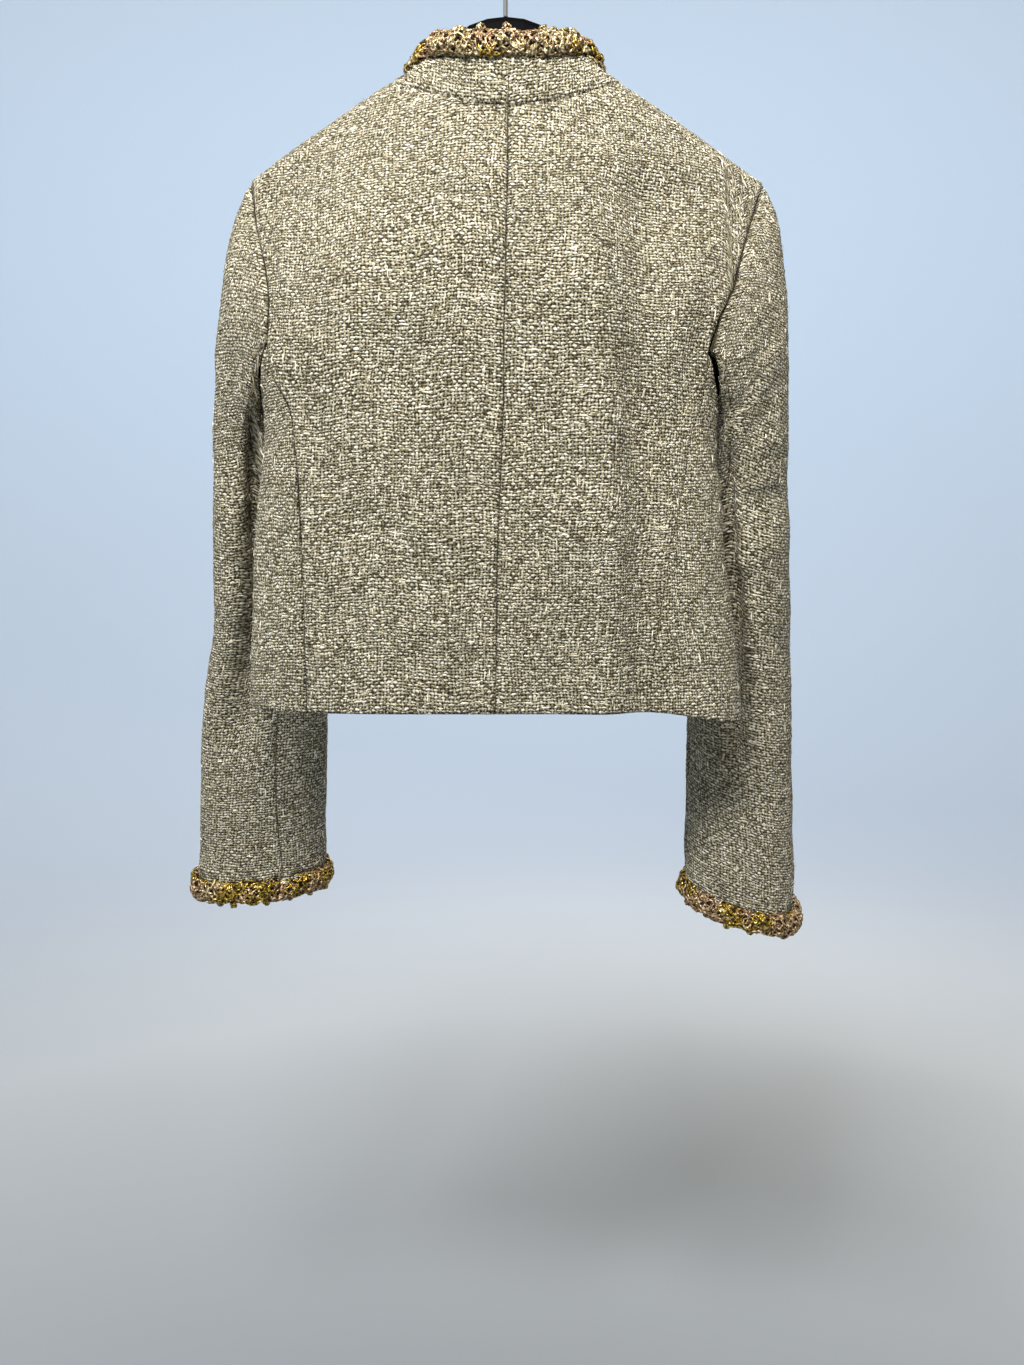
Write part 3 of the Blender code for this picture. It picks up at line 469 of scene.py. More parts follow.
# The stand collar
collar = {
    "rows": 3,
    "axisY": -18 * mm,
    "bow": 0.06,
    "shape": makeTable("roundShare rise inward", [
        (0.00, 36, 2),
        (0.18, 33, 6),
        (0.34, 26, 12),
        (0.50, 11, 15),
        (0.64, 12, 12),
        (0.82, 16, 4),
        (1.00, 19, -2),
    ]),
}


def collarGrid(side, rows, columns):
    count = 2 * steps["neck"]
    back = neckFlat(side, 1, np.minimum(columns, steps["neck"]))
    front = neckFlat(side, -1, steps["neck"] - np.maximum(columns - steps["neck"], 0))
    seam = np.where(
        (columns <= steps["neck"])[:, None],
        panelPoint(side, 1, back[:, 0], back[:, 1]),
        panelPoint(side, -1, front[:, 0], front[:, 1]),
    )
    rise = readTable(collar["shape"], "roundShare", columns / count, "rise")
    inward = readTable(collar["shape"], "roundShare", columns / count, "inward")
    toAxis = np.array([0.0, collar["axisY"], 0.0]) - seam
    toAxis[:, 2] = 0
    toAxis[0, 0] = toAxis[-1, 0] = 0
    lean = unit(toAxis) * inward[:, None]
    b = (rows / collar["rows"])[:, None, None]
    straight = lean + np.stack([0 * rise, 0 * rise, rise], axis=-1)
    return seam[None] + straight[None] * b - lean[None] * collar["bow"] * np.sin(math.pi * b)


def fromHex(code):
    parts = [int(code[i:i + 2], 16) / 255 for i in (1, 3, 5)]
    return tuple(c / 12.92 if c <= 0.04045 else ((c + 0.055) / 1.055) ** 2.4 for c in parts) + (1,)


def addNode(tree, kind, inputs=(), stops=(), **settings):
    # inputs are sockets or values, in order or by name or number; stops are a ramp's places and colours
    node = tree.nodes.new(kind)
    for name, value in settings.items():
        setattr(node, name, value)
    for key, value in inputs.items() if isinstance(inputs, dict) else enumerate(inputs):
        if isinstance(value, bpy.types.NodeSocket):
            tree.links.new(value, node.inputs[key])
        else:
            node.inputs[key].default_value = value
    if stops:
        while len(node.color_ramp.elements) < len(stops):
            node.color_ramp.elements.new(0.5)
        for element, (position, code) in zip(node.color_ramp.elements, stops):
            element.position = position
            element.color = fromHex(code)
    return node


def newMaterial(name, surface):
    # surface holds what is the same all over, set on the shader's own sockets
    made = bpy.data.materials.new(name)
    made.use_nodes = True
    shader = made.node_tree.nodes["Principled BSDF"]
    for key, value in surface.items():
        shader.inputs[key].default_value = value
    return made, made.node_tree, shader


# Woven wool and cotton tweed: a loose plain weave of slubby cream and khaki yarns, with the low places
# between them coloured near black as painted shade. It looks dull and soft, and its fuzz lightens it at
# grazing angles.
tweedLook = {
    "warpSpacing": 2.7 * mm,  # measured in the photo: 3.3 pixels of 0.81 mm
    "weftSpacing": 2.55 * mm,
    "waver": (0.5, 0.85),  # how far warps and wefts wander, in yarn spacings
    "waverScale": 0.35,
    # weft, then warp: the axis across it, how its runs of noise stretch, and their lane
    "yarns": ((1, 0.38, 0.0), (0, 0.5, 7.3)),
    "yarnRun": {"Scale": 1.9, "Detail": 2.0, "Roughness": 0.7},  # thick, thin, light and dark places
    "slub": 0.8,
    "crossing": 0.45,
    "blend": 0.12,  # how softly one yarn passes into the next in height
    "overlap": 0.1,  # and in colour
    "fibre": {"Scale": 2.0, "Detail": 2.0, "Roughness": 0.6},
    "relief": 1.0 * mm,
    "fuzz": 0.75,
    "gapShare": (1.3, 1.8),  # height at which a gap ends and a yarn is full
    "weftTones": [(0.34, "#6c6650"), (0.44, "#aca592"), (0.52, "#dfdacb"), (0.62, "#fffdf7")],
    "warpTones": [(0.36, "#4f4935"), (0.47, "#8b856e"), (0.57, "#c4bfab"), (0.67, "#f7f4ea")],
    # painted shade: the colour of the low places between the yarns and of the seams' grooves
    "gap": "#1b1508",
    "cloudTones": [(0.32, "#d5d3c9"), (0.50, "#dbd8cd"), (0.68, "#e2dfd4")],
    "cloudSize": 45 * mm,
    "seamDark": 0.75,  # how much of the light is lost down in a seam
    "seamBridges": (-1.6, 1.75),  # fibres cross the seams, so they are dark in short stretches
    "surface": {"Roughness": 0.92, "Sheen Weight": 0.1, "Sheen Roughness": 0.5,
                "Sheen Tint": fromHex("#efe3c8"), "Specular IOR Level": 0.25},
}


def makeTweed():
    made, tree, shader = newMaterial("woven_tweed", tweedLook["surface"])
    place = addNode(tree, "ShaderNodeUVMap", uv_map="clothMetres").outputs[0]
    spacing = (1 / tweedLook["warpSpacing"], 1 / tweedLook["weftSpacing"], 1)
    cells = addNode(tree, "ShaderNodeMapping", {"Vector": place, "Scale": spacing}).outputs[0]
    roam = {"Vector": cells, "Scale": tweedLook["waverScale"], "Detail": 2.0}
    drift = addNode(tree, "ShaderNodeTexNoise", roam).outputs["Color"]
    halves = [drift, (0.5, 0.5, 0.5)]
    centred = addNode(tree, "ShaderNodeVectorMath", halves, operation="SUBTRACT").outputs[0]
    moved = [centred, [2 * waver for waver in tweedLook["waver"]] + [0], cells]
    bent = addNode(tree, "ShaderNodeVectorMath", moved, operation="MULTIPLY_ADD").outputs[0]
    split = addNode(tree, "ShaderNodeSeparateXYZ", [bent]).outputs
    tops, tones, waves = [], [], []
    for axis, stretch, lane in tweedLook["yarns"]:
        lap = addNode(tree, "ShaderNodeMath", [split[axis], math.pi], operation="MULTIPLY").outputs[0]
        waves.append(addNode(tree, "ShaderNodeMath", [lap], operation="SINE").outputs[0])
        tops.append(addNode(tree, "ShaderNodeMath", [waves[-1]], operation="ABSOLUTE").outputs[0])
        # each yarn has its own run of thick, thin, light and dark places
        yarn = addNode(tree, "ShaderNodeMath", [split[axis]], operation="FLOOR").outputs[0]
        along = addNode(tree, "ShaderNodeMath", [split[1 - axis], stretch], operation="MULTIPLY").outputs[0]
        lane = addNode(tree, "ShaderNodeCombineXYZ", [along, yarn, lane]).outputs[0]
        tones.append(addNode(tree, "ShaderNodeTexNoise", {"Vector": lane} | tweedLook["yarnRun"]).outputs[0])
    over = addNode(tree, "ShaderNodeMath", [waves[0], waves[1]], operation="MULTIPLY").outputs[0]
    heights = []
    for top, tone, share in zip(tops, tones, (1, -1)):
        lift = [over, share * tweedLook["crossing"], top]
        rounded = addNode(tree, "ShaderNodeMath", lift, operation="MULTIPLY_ADD").outputs[0]
        thick = [tone, tweedLook["slub"], rounded]
        heights.append(addNode(tree, "ShaderNodeMath", thick, operation="MULTIPLY_ADD").outputs[0])
    high = addNode(tree, "ShaderNodeMath", heights + [tweedLook["blend"]], operation="SMOOTH_MAX").outputs[0]
    lead = addNode(tree, "ShaderNodeMath", heights, operation="SUBTRACT").outputs[0]
    overlap = {0: lead, 1: -tweedLook["overlap"], 2: tweedLook["overlap"]}
    onTop = addNode(tree, "ShaderNodeMapRange", overlap).outputs[0]
    weft = addNode(tree, "ShaderNodeValToRGB", [tones[0]], tweedLook["weftTones"]).outputs[0]
    warp = addNode(tree, "ShaderNodeValToRGB", [tones[1]], tweedLook["warpTones"]).outputs[0]
    yarns = addNode(tree, "ShaderNodeMix", {0: onTop, 6: warp, 7: weft}, data_type="RGBA").outputs[2]
    # loose fibres and small curls inside each yarn
    fibre = addNode(tree, "ShaderNodeTexNoise", {"Vector": bent} | tweedLook["fibre"]).outputs[0]
    lift = [fibre, tweedLook["fuzz"], high]
    fuzzed = addNode(tree, "ShaderNodeMath", lift, operation="MULTIPLY_ADD").outputs[0]
    low, full = tweedLook["gapShare"]
    filled = addNode(tree, "ShaderNodeMapRange", {0: fuzzed, 1: low, 2: full}).outputs[0]
    # painted shade where the weave lies low between the yarns
    woven = {0: filled, 6: fromHex(tweedLook["gap"]), 7: yarns}
    weave = addNode(tree, "ShaderNodeMix", woven, data_type="RGBA").outputs[2]
    solid = addNode(tree, "ShaderNodeTexCoord").outputs["Object"]
    cloud = {"Vector": solid, "Scale": 1 / tweedLook["cloudSize"], "Detail": 2.0}
    cloudy = addNode(tree, "ShaderNodeTexNoise", cloud).outputs[0]
    cast = addNode(tree, "ShaderNodeValToRGB", [cloudy], tweedLook["cloudTones"]).outputs[0]
    mixed = {0: 1.0, 6: weave, 7: cast}
    colour = addNode(tree, "ShaderNodeMix", mixed, data_type="RGBA", blend_type="MULTIPLY").outputs[2]
    # painted shade along the stitching: the cloth is darkened towards the gaps' painted shade
    seam = addNode(tree, "ShaderNodeAttribute", attribute_name="seamShade").outputs["Fac"]
    bridges = [fibre, *tweedLook["seamBridges"]]
    bare = addNode(tree, "ShaderNodeMath", bridges, operation="MULTIPLY_ADD").outputs[0]
    sunk = addNode(tree, "ShaderNodeMath", [seam, bare], operation="MULTIPLY").outputs[0]
    lost = addNode(tree, "ShaderNodeMapRange", {0: sunk, 4: tweedLook["seamDark"]}).outputs[0]
    shaded = {0: lost, 6: colour, 7: fromHex(tweedLook["gap"])}
    colour = addNode(tree, "ShaderNodeMix", shaded, data_type="RGBA").outputs[2]
    bump = addNode(tree, "ShaderNodeBump", {"Height": fuzzed, "Distance": tweedLook["relief"]}).outputs[0]
    tree.links.new(colour, shader.inputs["Base Color"])
    tree.links.new(bump, shader.inputs["Normal"])
    return made


tweed = makeTweed()


# Fine cloth over the solids' form, with its seams, folded hems and small creases
cloth = {
    "wall": 2.0 * mm,
    "torsoMarks": (8, 5),  # fine marks to each of the solids' steps, down and across
    "sleeveMarks": (9, 4),
    "collarMarks": (5, 6),
    "seamMarks": (0.05, 0.11, 0.2),  # shares of a step beside a sewn edge
    "seamSink": 1.7 * mm,  # how far the cloth rolls in at its stitching
    "seamSinkLeast": 0.4,  # share of that on the weakest seam
    "seamGap": (0.12 * mm, 0.5 * mm),  # least and most that it draws back from the stitches
    "seamRoll": 1.7 * mm,
    "seamShadeReach": 1.15 * mm,
    "seamShadeLength": 34 * mm,
    "seamShadeShares": (0.7, 0.3),  # steady and changing share of the dark line
    "seamShadeMost": 1.2,
    "seamBulk": 3.6 * mm,  # the two turned allowances inside a seam, pressed into one cord
    "seamDeep": 3.8 * mm,
    "allowance": 12 * mm,  # pressed open inside, so it shows as a low band
    "allowanceRise": 0.5 * mm,
    "hemFold": 32 * mm,
    "hemRise": 0.5 * mm,
    "hemRound": 0.9 * mm,
    "bandStep": 2.5 * mm,
    "pucker": 0.35 * mm,
    "puckerLength": 15 * mm,
    "puckerDrift": 41 * mm,
    "puckerFade": 9 * mm,
    "pressedSide": {"left": 0.8, "right": 0.15},  # the right side-back seam hardly shows
    "pressedFrom": 0.3,  # steps of the solids below the armhole
    "arcSteps": 12,
    # width, length and area of what shows of each cut piece, laid flat
    "cuts": {
        "back_left": (0.23, 0.513, 0.0870),
        "back_right": (0.23, 0.512, 0.0808),
        "front_left": (0.215, 0.508, 0.0792),
        "front_right": (0.215, 0.511, 0.0792),
        "side_left": (0.166, 0.286, 0.0378),
        "side_right": (0.186, 0.290, 0.0360),
        "sleeve_left_upper": (0.285, 0.600, 0.0960),
        "sleeve_left_under": (0.120, 0.439, 0.0412),
        "sleeve_right_upper": (0.300, 0.610, 0.1120),
        "sleeve_right_under": (0.103, 0.430, 0.0270),
        "collar_left": (0.262, 0.036, 0.0057),
        "collar_right": (0.258, 0.036, 0.0055),
    },
    "wave": 0.8 * mm,
    "waves": (55 * mm, 150 * mm, 7),  # shortest, longest and how many
    "bowing": 2.2 * mm,  # how far the weave strays from straight
    "bowings": (80 * mm, 240 * mm, 4),
    "nub": 0.22 * mm,
    "creaseFade": 30 * mm,
    "sideEaseDeg": 20,
    # two long folds and many small soft creases of the torso, as lines like the folds
    "creases": makeTable("faceShare topX topZ lowX lowZ width out", [
        (1, -62, -190, -76, -640, 24, 4.6),
        (1, -118, -210, -134, -650, 38, -9.5),
        (1, -88, -180, -95, -330, 9, 1.2),
        (1, -96, -345, -104, -520, 8, -1.1),
        (1, -122, -250, -131, -470, 10, 1.3),
        (1, -158, -250, -130, -338, 7, 1.6),
        (1, -168, -268, -146, -352, 6, -1.6),
        (1, -172, -320, -150, -395, 6, 1.5),
        (1, -140, -430, -136, -560, 7, -1.0),
        (1, 62, -210, 58, -420, 12, 0.8),
        (1, 100, -300, 112, -500, 10, -0.9),
        (1, 176, -240, 158, -330, 7, 1.4),
        (1, 184, -262, 170, -352, 6, -1.2),
        (1, 138, -420, 146, -575, 8, 1.1),
        (1, 30, -150, 62, -130, 6, 0.8),
        (1, -28, -142, -66, -128, 7, 0.9),
        (-1, 40, -300, 46, -520, 10, 1.1),
        (-1, 92, -230, 104, -400, 9, -1.2),
        (-1, 140, -260, 120, -350, 7, 1.5),
        (-1, 150, -290, 134, -372, 6, -1.3),
        (-1, 128, -410, 134, -570, 9, 1.2),
        (-1, -36, -280, -44, -470, 9, 1.2),
        (-1, -84, -240, -98, -420, 10, -1.1),
        (-1, -136, -255, -118, -342, 7, 1.4),
        (-1, -148, -284, -128, -366, 6, -1.5),
        (-1, -122, -420, -118, -580, 8, 1.0),
    ]),
    # the sleeves roll in sharply where they pass beside the body
    "sleeveTucks": {
        "left": makeTable("reachShare turnDeg out", [
            (0.11, 157, 0), (0.16, 143, -9), (0.2, 131, -15), (0.24, 118, -19), (0.3, 98, -22),
            (0.4, 77, -24), (0.5, 64, -23), (0.6, 60, -19), (0.69, 59, -15), (0.79, 58, 0)]),
        "right": makeTable("reachShare turnDeg out", [
            (0.2, 150, 0), (0.3, 134, -12), (0.4, 120, -18), (0.5, 100, -21), (0.6, 86, -21),
            (0.67, 80, -20), (0.75, 77, -16), (0.81, 75, 0)]),
    },
    "tuckSpanDeg": {"left": 18, "right": 14},
    "tuckSteepness": 3,  # 2 is a round hollow and more gives steeper sides
    # creases of the sleeves: middle, half size, slant across the sleeve and how far they stand out
    "sleeveCreases": {
        "left": makeTable("reachShare turnDeg reachSpanShare turnSpanDeg slantShare out", [
            (0.10, 60, 0.012, 30, 0.0006, 0.9),
            (0.17, 95, 0.010, 22, -0.0008, -1.1),
            (0.24, 40, 0.012, 34, 0.0009, 1.1),
            (0.33, 75, 0.011, 30, 0.0004, -1.2),
            (0.375, 60, 0.010, 38, 0.0007, 1.1),
            (0.45, 30, 0.010, 32, -0.0005, -1.0),
            (0.485, 70, 0.010, 36, 0.0008, 1.3),
            (0.515, 62, 0.008, 34, 0.0005, -1.4),
            (0.545, 80, 0.009, 40, 0.0009, 1.4),
            (0.60, 40, 0.010, 30, 0.0003, -1.1),
            (0.66, 78, 0.012, 34, -0.0006, 0.9),
            (0.78, 50, 0.014, 30, 0.0007, -0.8),
            (0.88, 85, 0.012, 28, 0.0005, 0.8),
            (0.14, 215, 0.012, 26, 0.0010, -1.3),
            (0.20, 235, 0.011, 30, 0.0007, 1.4),
            (0.28, 300, 0.012, 34, 0.0005, -1.1),
            (0.37, 262, 0.011, 38, -0.0006, 1.3),
            (0.43, 285, 0.010, 34, 0.0004, -1.5),
            (0.475, 268, 0.010, 40, 0.0008, 1.5),
            (0.52, 295, 0.010, 30, 0.0005, -1.2),
            (0.62, 255, 0.012, 34, 0.0006, 1.1),
            (0.74, 300, 0.013, 30, -0.0005, -0.9),
            (0.86, 250, 0.013, 34, 0.0004, 0.8),
        ]),
        "right": makeTable("reachShare turnDeg reachSpanShare turnSpanDeg slantShare out", [
            (0.09, 88, 0.010, 26, -0.0010, 1.3),
            (0.13, 100, 0.009, 28, -0.0012, -1.4),
            (0.175, 82, 0.010, 32, -0.0009, 1.2),
            (0.235, 60, 0.010, 34, -0.0006, -0.9),
            (0.300, 74, 0.0085, 40, -0.0008, 1.2),
            (0.328, 66, 0.0075, 36, -0.0009, -1.2),
            (0.355, 78, 0.0080, 42, -0.0007, 1.4),
            (0.382, 60, 0.0070, 38, -0.0008, -1.3),
            (0.412, 72, 0.0085, 40, -0.0010, 1.2),
            (0.445, 62, 0.0080, 34, -0.0006, -1.1),
            (0.480, 84, 0.0090, 36, -0.0008, 1.1),
            (0.53, 50, 0.011, 30, -0.0004, -0.9),
            (0.62, 92, 0.012, 34, 0.0005, 0.9),
            (0.71, 60, 0.013, 30, -0.0006, -0.8),
            (0.83, 98, 0.013, 34, 0.0004, 0.9),
            (0.12, 205, 0.011, 26, -0.0009, -1.4),
            (0.19, 240, 0.011, 30, -0.0006, 1.3),
            (0.27, 285, 0.012, 34, 0.0005, -1.2),
            (0.34, 260, 0.010, 40, -0.0007, 1.3),
            (0.40, 300, 0.010, 34, -0.0005, -1.4),
            (0.45, 270, 0.010, 38, 0.0006, 1.4),
            (0.50, 292, 0.010, 32, -0.0008, -1.1),
            (0.60, 248, 0.012, 34, 0.0005, 1.0),
            (0.76, 295, 0.013, 30, 0.0006, -0.9),
        ]),
    },
}


def fineMarks(count, perStep):
    close = np.array(cloth["seamMarks"])
    marks = np.concatenate([np.linspace(0, count, count * perStep + 1), close, count - close])
    return np.unique(np.round(marks, 4))


def softWaves(points, shortest, longest, count, seed):
    picker = np.random.default_rng(seed)
    total = np.zeros(points.shape[:-1])
    for length in np.geomspace(shortest, longest, count):
        way = unit(picker.normal(size=3))
        total += np.sin(points @ way * 2 * math.pi / length + picker.uniform(0, 2 * math.pi))
    return total / math.sqrt(count)


def lengthsAlong(points, axis):
    # distance of each point from the first one of its row or column, along the cloth
    step = np.linalg.norm(np.diff(points, axis=axis), axis=-1)
    start = np.zeros_like(np.take(step, [0], axis=axis))
    return np.concatenate([start, np.cumsum(step, axis=axis)], axis=axis)


def edgeDistances(points):
    down = lengthsAlong(points, 0)
    over = lengthsAlong(points, 1)
    return {"top": down, "bottom": down[-1:] - down, "near": over, "far": over[:, -1:] - over}


# the outermost line of a patch at each edge that can be sewn, and the next one in
edgeLines = {
    "top": ((0, slice(None)), (1, slice(None))),
    "near": ((slice(None), 0), (slice(None), 1)),
    "far": ((slice(None), -1), (slice(None), -2)),
}


def makeCloth(name, points, flat, away, edges, relief):
    # edges tells for each side if it is sewn, a hem, a fold or a meeting fold, and how strongly it shows
    seed = len(patches)
    normal = unit(np.cross(np.gradient(points, axis=1), np.gradient(points, axis=0)))
    turned = np.sign(np.sum(normal * away))
    normal = normal * turned
    distances = edgeDistances(points)
    strayed = [softWaves(points, *cloth["bowings"], seed + extra) for extra in (50, 90)]
    flat = flat + cloth["bowing"] * np.stack(strayed, -1)
    push = relief + cloth["wave"] * softWaves(points, *cloth["waves"], seed)
    folded = push.copy()
    loose = np.ones(push.shape)
    shade = np.zeros(push.shape)
    for edge, (kind, share) in edges.items():
        inFrom = distances[edge]
        roll = np.exp(-((inFrom / cloth["seamRoll"]) ** 2))
        dark = np.exp(-((inFrom / cloth["seamShadeReach"]) ** 2))
        # the turned layer under the cloth lifts it in a low band along its edge
        width = cloth["allowance"] if kind == "sewn" else cloth["hemFold"]
        band = 1 - smoothstep((inFrom - width) / cloth["bandStep"] + 1)
        if kind == "sewn":
            along = lengthsAlong(points, 1 if edge == "top" else 0)
            drift = np.sin(along / cloth["puckerDrift"] + seed)
            tuck = np.sin(along * 2 * math.pi / cloth["puckerLength"] + 3 * drift)
            push += share * cloth["pucker"] * tuck * np.exp(-inFrom / cloth["puckerFade"])
            push += share * cloth["allowanceRise"] * band
            least = cloth["seamSinkLeast"]
            push -= cloth["seamSink"] * (least + (1 - least) * np.minimum(share, 1)) * roll
            loose = np.minimum(loose, 1 - roll)
            steady, change = cloth["seamShadeShares"]
            uneven = steady + change * np.sin(along * 2 * math.pi / cloth["seamShadeLength"] + 2 * drift)
            shade = np.maximum(shade, np.minimum(share, cloth["seamShadeMost"]) * uneven * dark)
        else:
            if kind == "hem":
                push += share * cloth["hemRise"] * band
            push -= cloth["hemRound"] * roll
            if kind == "meeting":
                shade = np.maximum(shade, share * dark)
    push += rng.normal(0, cloth["nub"], push.shape) * loose
    shaped = points + normal * push[..., None]
    for edge, (kind, share) in edges.items():
        if kind == "sewn":
            first, second = edgeLines[edge]
            least, most = cloth["seamGap"]
            drawn = least + (most - least) * rng.random(shaped[first].shape[0]) ** 2
            strength = np.broadcast_to(np.minimum(share, 1), push.shape)[first]
            shaped[first] += unit(shaped[second] - shaped[first]) * (drawn * strength)[:, None]

    rows, columns = push.shape
    shape = bmesh.new()
    bmesh.ops.create_grid(shape, x_segments=columns - 1, y_segments=rows - 1, size=1)
    mesh = bpy.data.meshes.new(name)
    shape.to_mesh(mesh)
    shape.free()
    places = np.empty(len(mesh.vertices) * 3)
    mesh.vertices.foreach_get("co", places)
    places = (places.reshape(-1, 3) + 1) / 2
    column = np.rint(places[:, 0] * (columns - 1)).astype(int)
    row = np.rint(places[:, 1] * (rows - 1)).astype(int)
    mesh.vertices.foreach_set("co", shaped[row, column].ravel())
    corners = np.empty(len(mesh.loops), int)
    mesh.loops.foreach_get("vertex_index", corners)
    layer = mesh.uv_layers.new(name="clothMetres")
    shifted = flat[row, column] + rng.uniform(0, 0.3, 2)  # the weave doesn't run on over a seam
    layer.data.foreach_set("uv", shifted[corners].ravel())
    seamShade = mesh.attributes.new("seamShade", "FLOAT", "POINT")
    seamShade.data.foreach_set("value", shade[row, column].astype(np.float32))
    if turned < 0:
        mesh.flip_normals()
    mesh.polygons.foreach_set("use_smooth", np.ones(len(mesh.polygons), bool))
    mesh.update()
    made = bpy.data.objects.new(name, mesh)
    scene.collection.objects.link(made)
    wall = made.modifiers.new("clothWall", "SOLIDIFY")
    wall.thickness = cloth["wall"]
    wall.offset = -1
    made.data.materials.append(tweed)
    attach(made, "root")
    node = name.removesuffix("_cloth")
    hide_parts(node)
    width, length, area = cloth["cuts"][node]
    patches.append((shaped, normal, flat))
    for edge, (kind, share) in edges.items():
        if kind == "sewn":
            line = edgeLines[edge][0]
            inside = points[line] + normal[line] * (folded[line] - cloth["seamDeep"])[:, None]
            allowances.append(inside[::3])


def arcFrom(side, face, x, z, startX, startZ):
    # length along the cloth from a start to each point, on a straight line seen from the back
    total = np.zeros(x.shape)
    before = None
    for share in np.linspace(0, 1, cloth["arcSteps"] + 1):
        here = panelPoint(side, face, startX + (x - startX) * share, startZ + (z - startZ) * share)
        if before is not None:
            total += np.linalg.norm(here - before, axis=-1)
        before = here
    return total


def makeTorso(side):
    downStep, overStep = cloth["torsoMarks"]
    for part, face in (("back", 1), ("front", -1)):
        rows = fineMarks(steps["armBack"] + steps["low"], downStep)
        columns = fineMarks(steps["shoulder"] + (steps["neck"] if face > 0 else 0), overStep)
        place = panelFlat(side, face, rows, columns)
        x, z = place[..., 0], place[..., 1]
        points = panelPoint(side, face, x, np.minimum(z, crestZ(x)))
        across = arcFrom(side, face, x, z, middleX(z), z) * np.sign(x - middleX(z))
        level = np.full(z.shape, torso["grainZ"])
        up = arcFrom(side, face, x, z, x, level) * np.sign(z - level)
        # the armhole seam is full and the side-back seam below it is pressed flatter
        pressed = cloth["pressedSide"][side]
        armAndSide = np.where(rows > steps["armBack"] + cloth["pressedFrom"], pressed, 1.0)[:, None]
        edges = {"top": ("sewn", 0.8), "far": ("sewn", armAndSide), "bottom": ("hem", 1.0)}
        # the centre back seam, or the edges at which the fronts meet
        edges["near"] = ("sewn", 1.0 if side == "left" else 0.8) if face > 0 else ("meeting", 0.8)
        relief = lineOut(cloth["creases"], cloth["creaseFade"], face, x, z)
        away = np.zeros(points.shape) + np.array([0.0, face, 0.0])
        makeCloth(f"{part}_{side}_cloth", points, np.stack([across, up], -1), away, edges, relief)
    rows = fineMarks(steps["low"], downStep)
    columns = fineMarks(steps["armSide"], overStep)
    place = sideFlat(side, rows, columns)
    turn, z = place[..., 0], place[..., 1]
    points = torsoPoint(side, np.where(turn >= 0, 1, -1), np.abs(turn), z)
    over = lengthsAlong(points, 1)
    flat = np.stack([over - over[:, len(columns) // 2][:, None], z], -1)
    pressed = cloth["pressedSide"][side]
    edges = {"top": ("sewn", 1.0), "near": ("sewn", pressed), "far": ("sewn", 0.8), "bottom": ("hem", 1.0)}
    relief = lineOut(cloth["creases"], cloth["creaseFade"], np.where(turn >= 0, 1, -1), points[..., 0], z)
    relief *= smoothstep(np.abs(turn) / math.radians(cloth["sideEaseDeg"]))
    away = np.zeros(points.shape) + np.array([signs[side], 0.0, 0.0])
    makeCloth(f"side_{side}_cloth", points, flat, away, edges, relief)


def makeSleeve(side):
    downStep, overStep = cloth["sleeveMarks"]
    turns = armholeTurns(side)
    whole = len(turns) - 1
    first = steps["armBack"]
    last = first + steps["armSide"]
    rows = fineMarks(len(sleeves["reaches"]) - 1, downStep)
    reaches = np.interp(rows, np.arange(len(sleeves["reaches"])), sleeves["reaches"])
    hearts = np.stack([sleeveRing(side, reach, turns)[0].mean(axis=0) for reach in reaches])[:, None]
    # each part from its first to its last column, and the one that its grain follows
    parts = (("upper", last, whole + first, whole), ("under", first, last, (first + last) / 2))
    for part, start, end, middle in parts:
        columns = start + fineMarks(end - start, overStep)
        base = np.interp(np.mod(columns, whole), np.arange(whole + 1), turns)
        base[columns == whole + first] = turns[first]
        rings = [sleeveRing(side, reach, base) for reach in reaches]
        points = np.stack([ring for ring, angle in rings])
        angle = np.stack([angle for ring, angle in rings])
        centre = points.mean(axis=1, keepdims=True)
        if part == "upper":
            centre = centre + (points[:, [0]] + points[:, [-1]] - 2 * centre) / 4
        # the weave is square to the sleeve's length, not along the slanted rings
        atMiddle = int(np.argmin(np.abs(columns - middle)))
        down = lengthsAlong(points, 0)
        step = np.diff(points, axis=1)
        grain = unit(np.gradient(points, axis=0))
        lean = np.sum(step * (grain[:, 1:] + grain[:, :-1]) / 2, axis=-1)
        square = np.sqrt(np.maximum(np.sum(step * step, axis=-1) - lean**2, 0))
        over = np.concatenate([np.zeros((len(rows), 1)), np.cumsum(square, axis=1)], axis=1)
        flat = np.stack([over - over[:, atMiddle][:, None], down[-1:] - down], -1)
        creases = cloth["sleeveCreases"][side]
        relief = np.zeros(over.shape)
        for i in range(len(creases["out"])):
            roundBy = np.mod(angle - creases["turnDeg"][i] + 180, 360) - 180
            along = reaches[:, None] - creases["reachShare"][i] - creases["slantShare"][i] * roundBy
            spread = (along / creases["reachSpanShare"][i]) ** 2 + (roundBy / creases["turnSpanDeg"][i]) ** 2
            relief += creases["out"][i] * np.exp(-spread)
        tucks = cloth["sleeveTucks"][side]
        turnHere = np.interp(reaches, tucks["reachShare"], tucks["turnDeg"])[:, None]
        outHere = np.interp(reaches, tucks["reachShare"], tucks["out"])[:, None]
        off = np.abs((angle - turnHere) / cloth["tuckSpanDeg"][side])
        tucked = outHere * np.exp(-(off ** cloth["tuckSteepness"]))
        points = points + unit(points - hearts) * tucked[..., None]
        edges = {"top": ("sewn", 0.9), "near": ("sewn", 0.6), "far": ("sewn", 0.6), "bottom": ("fold", 1.0)}
        makeCloth(f"sleeve_{side}_{part}_cloth", points, flat, points - centre, edges, relief)


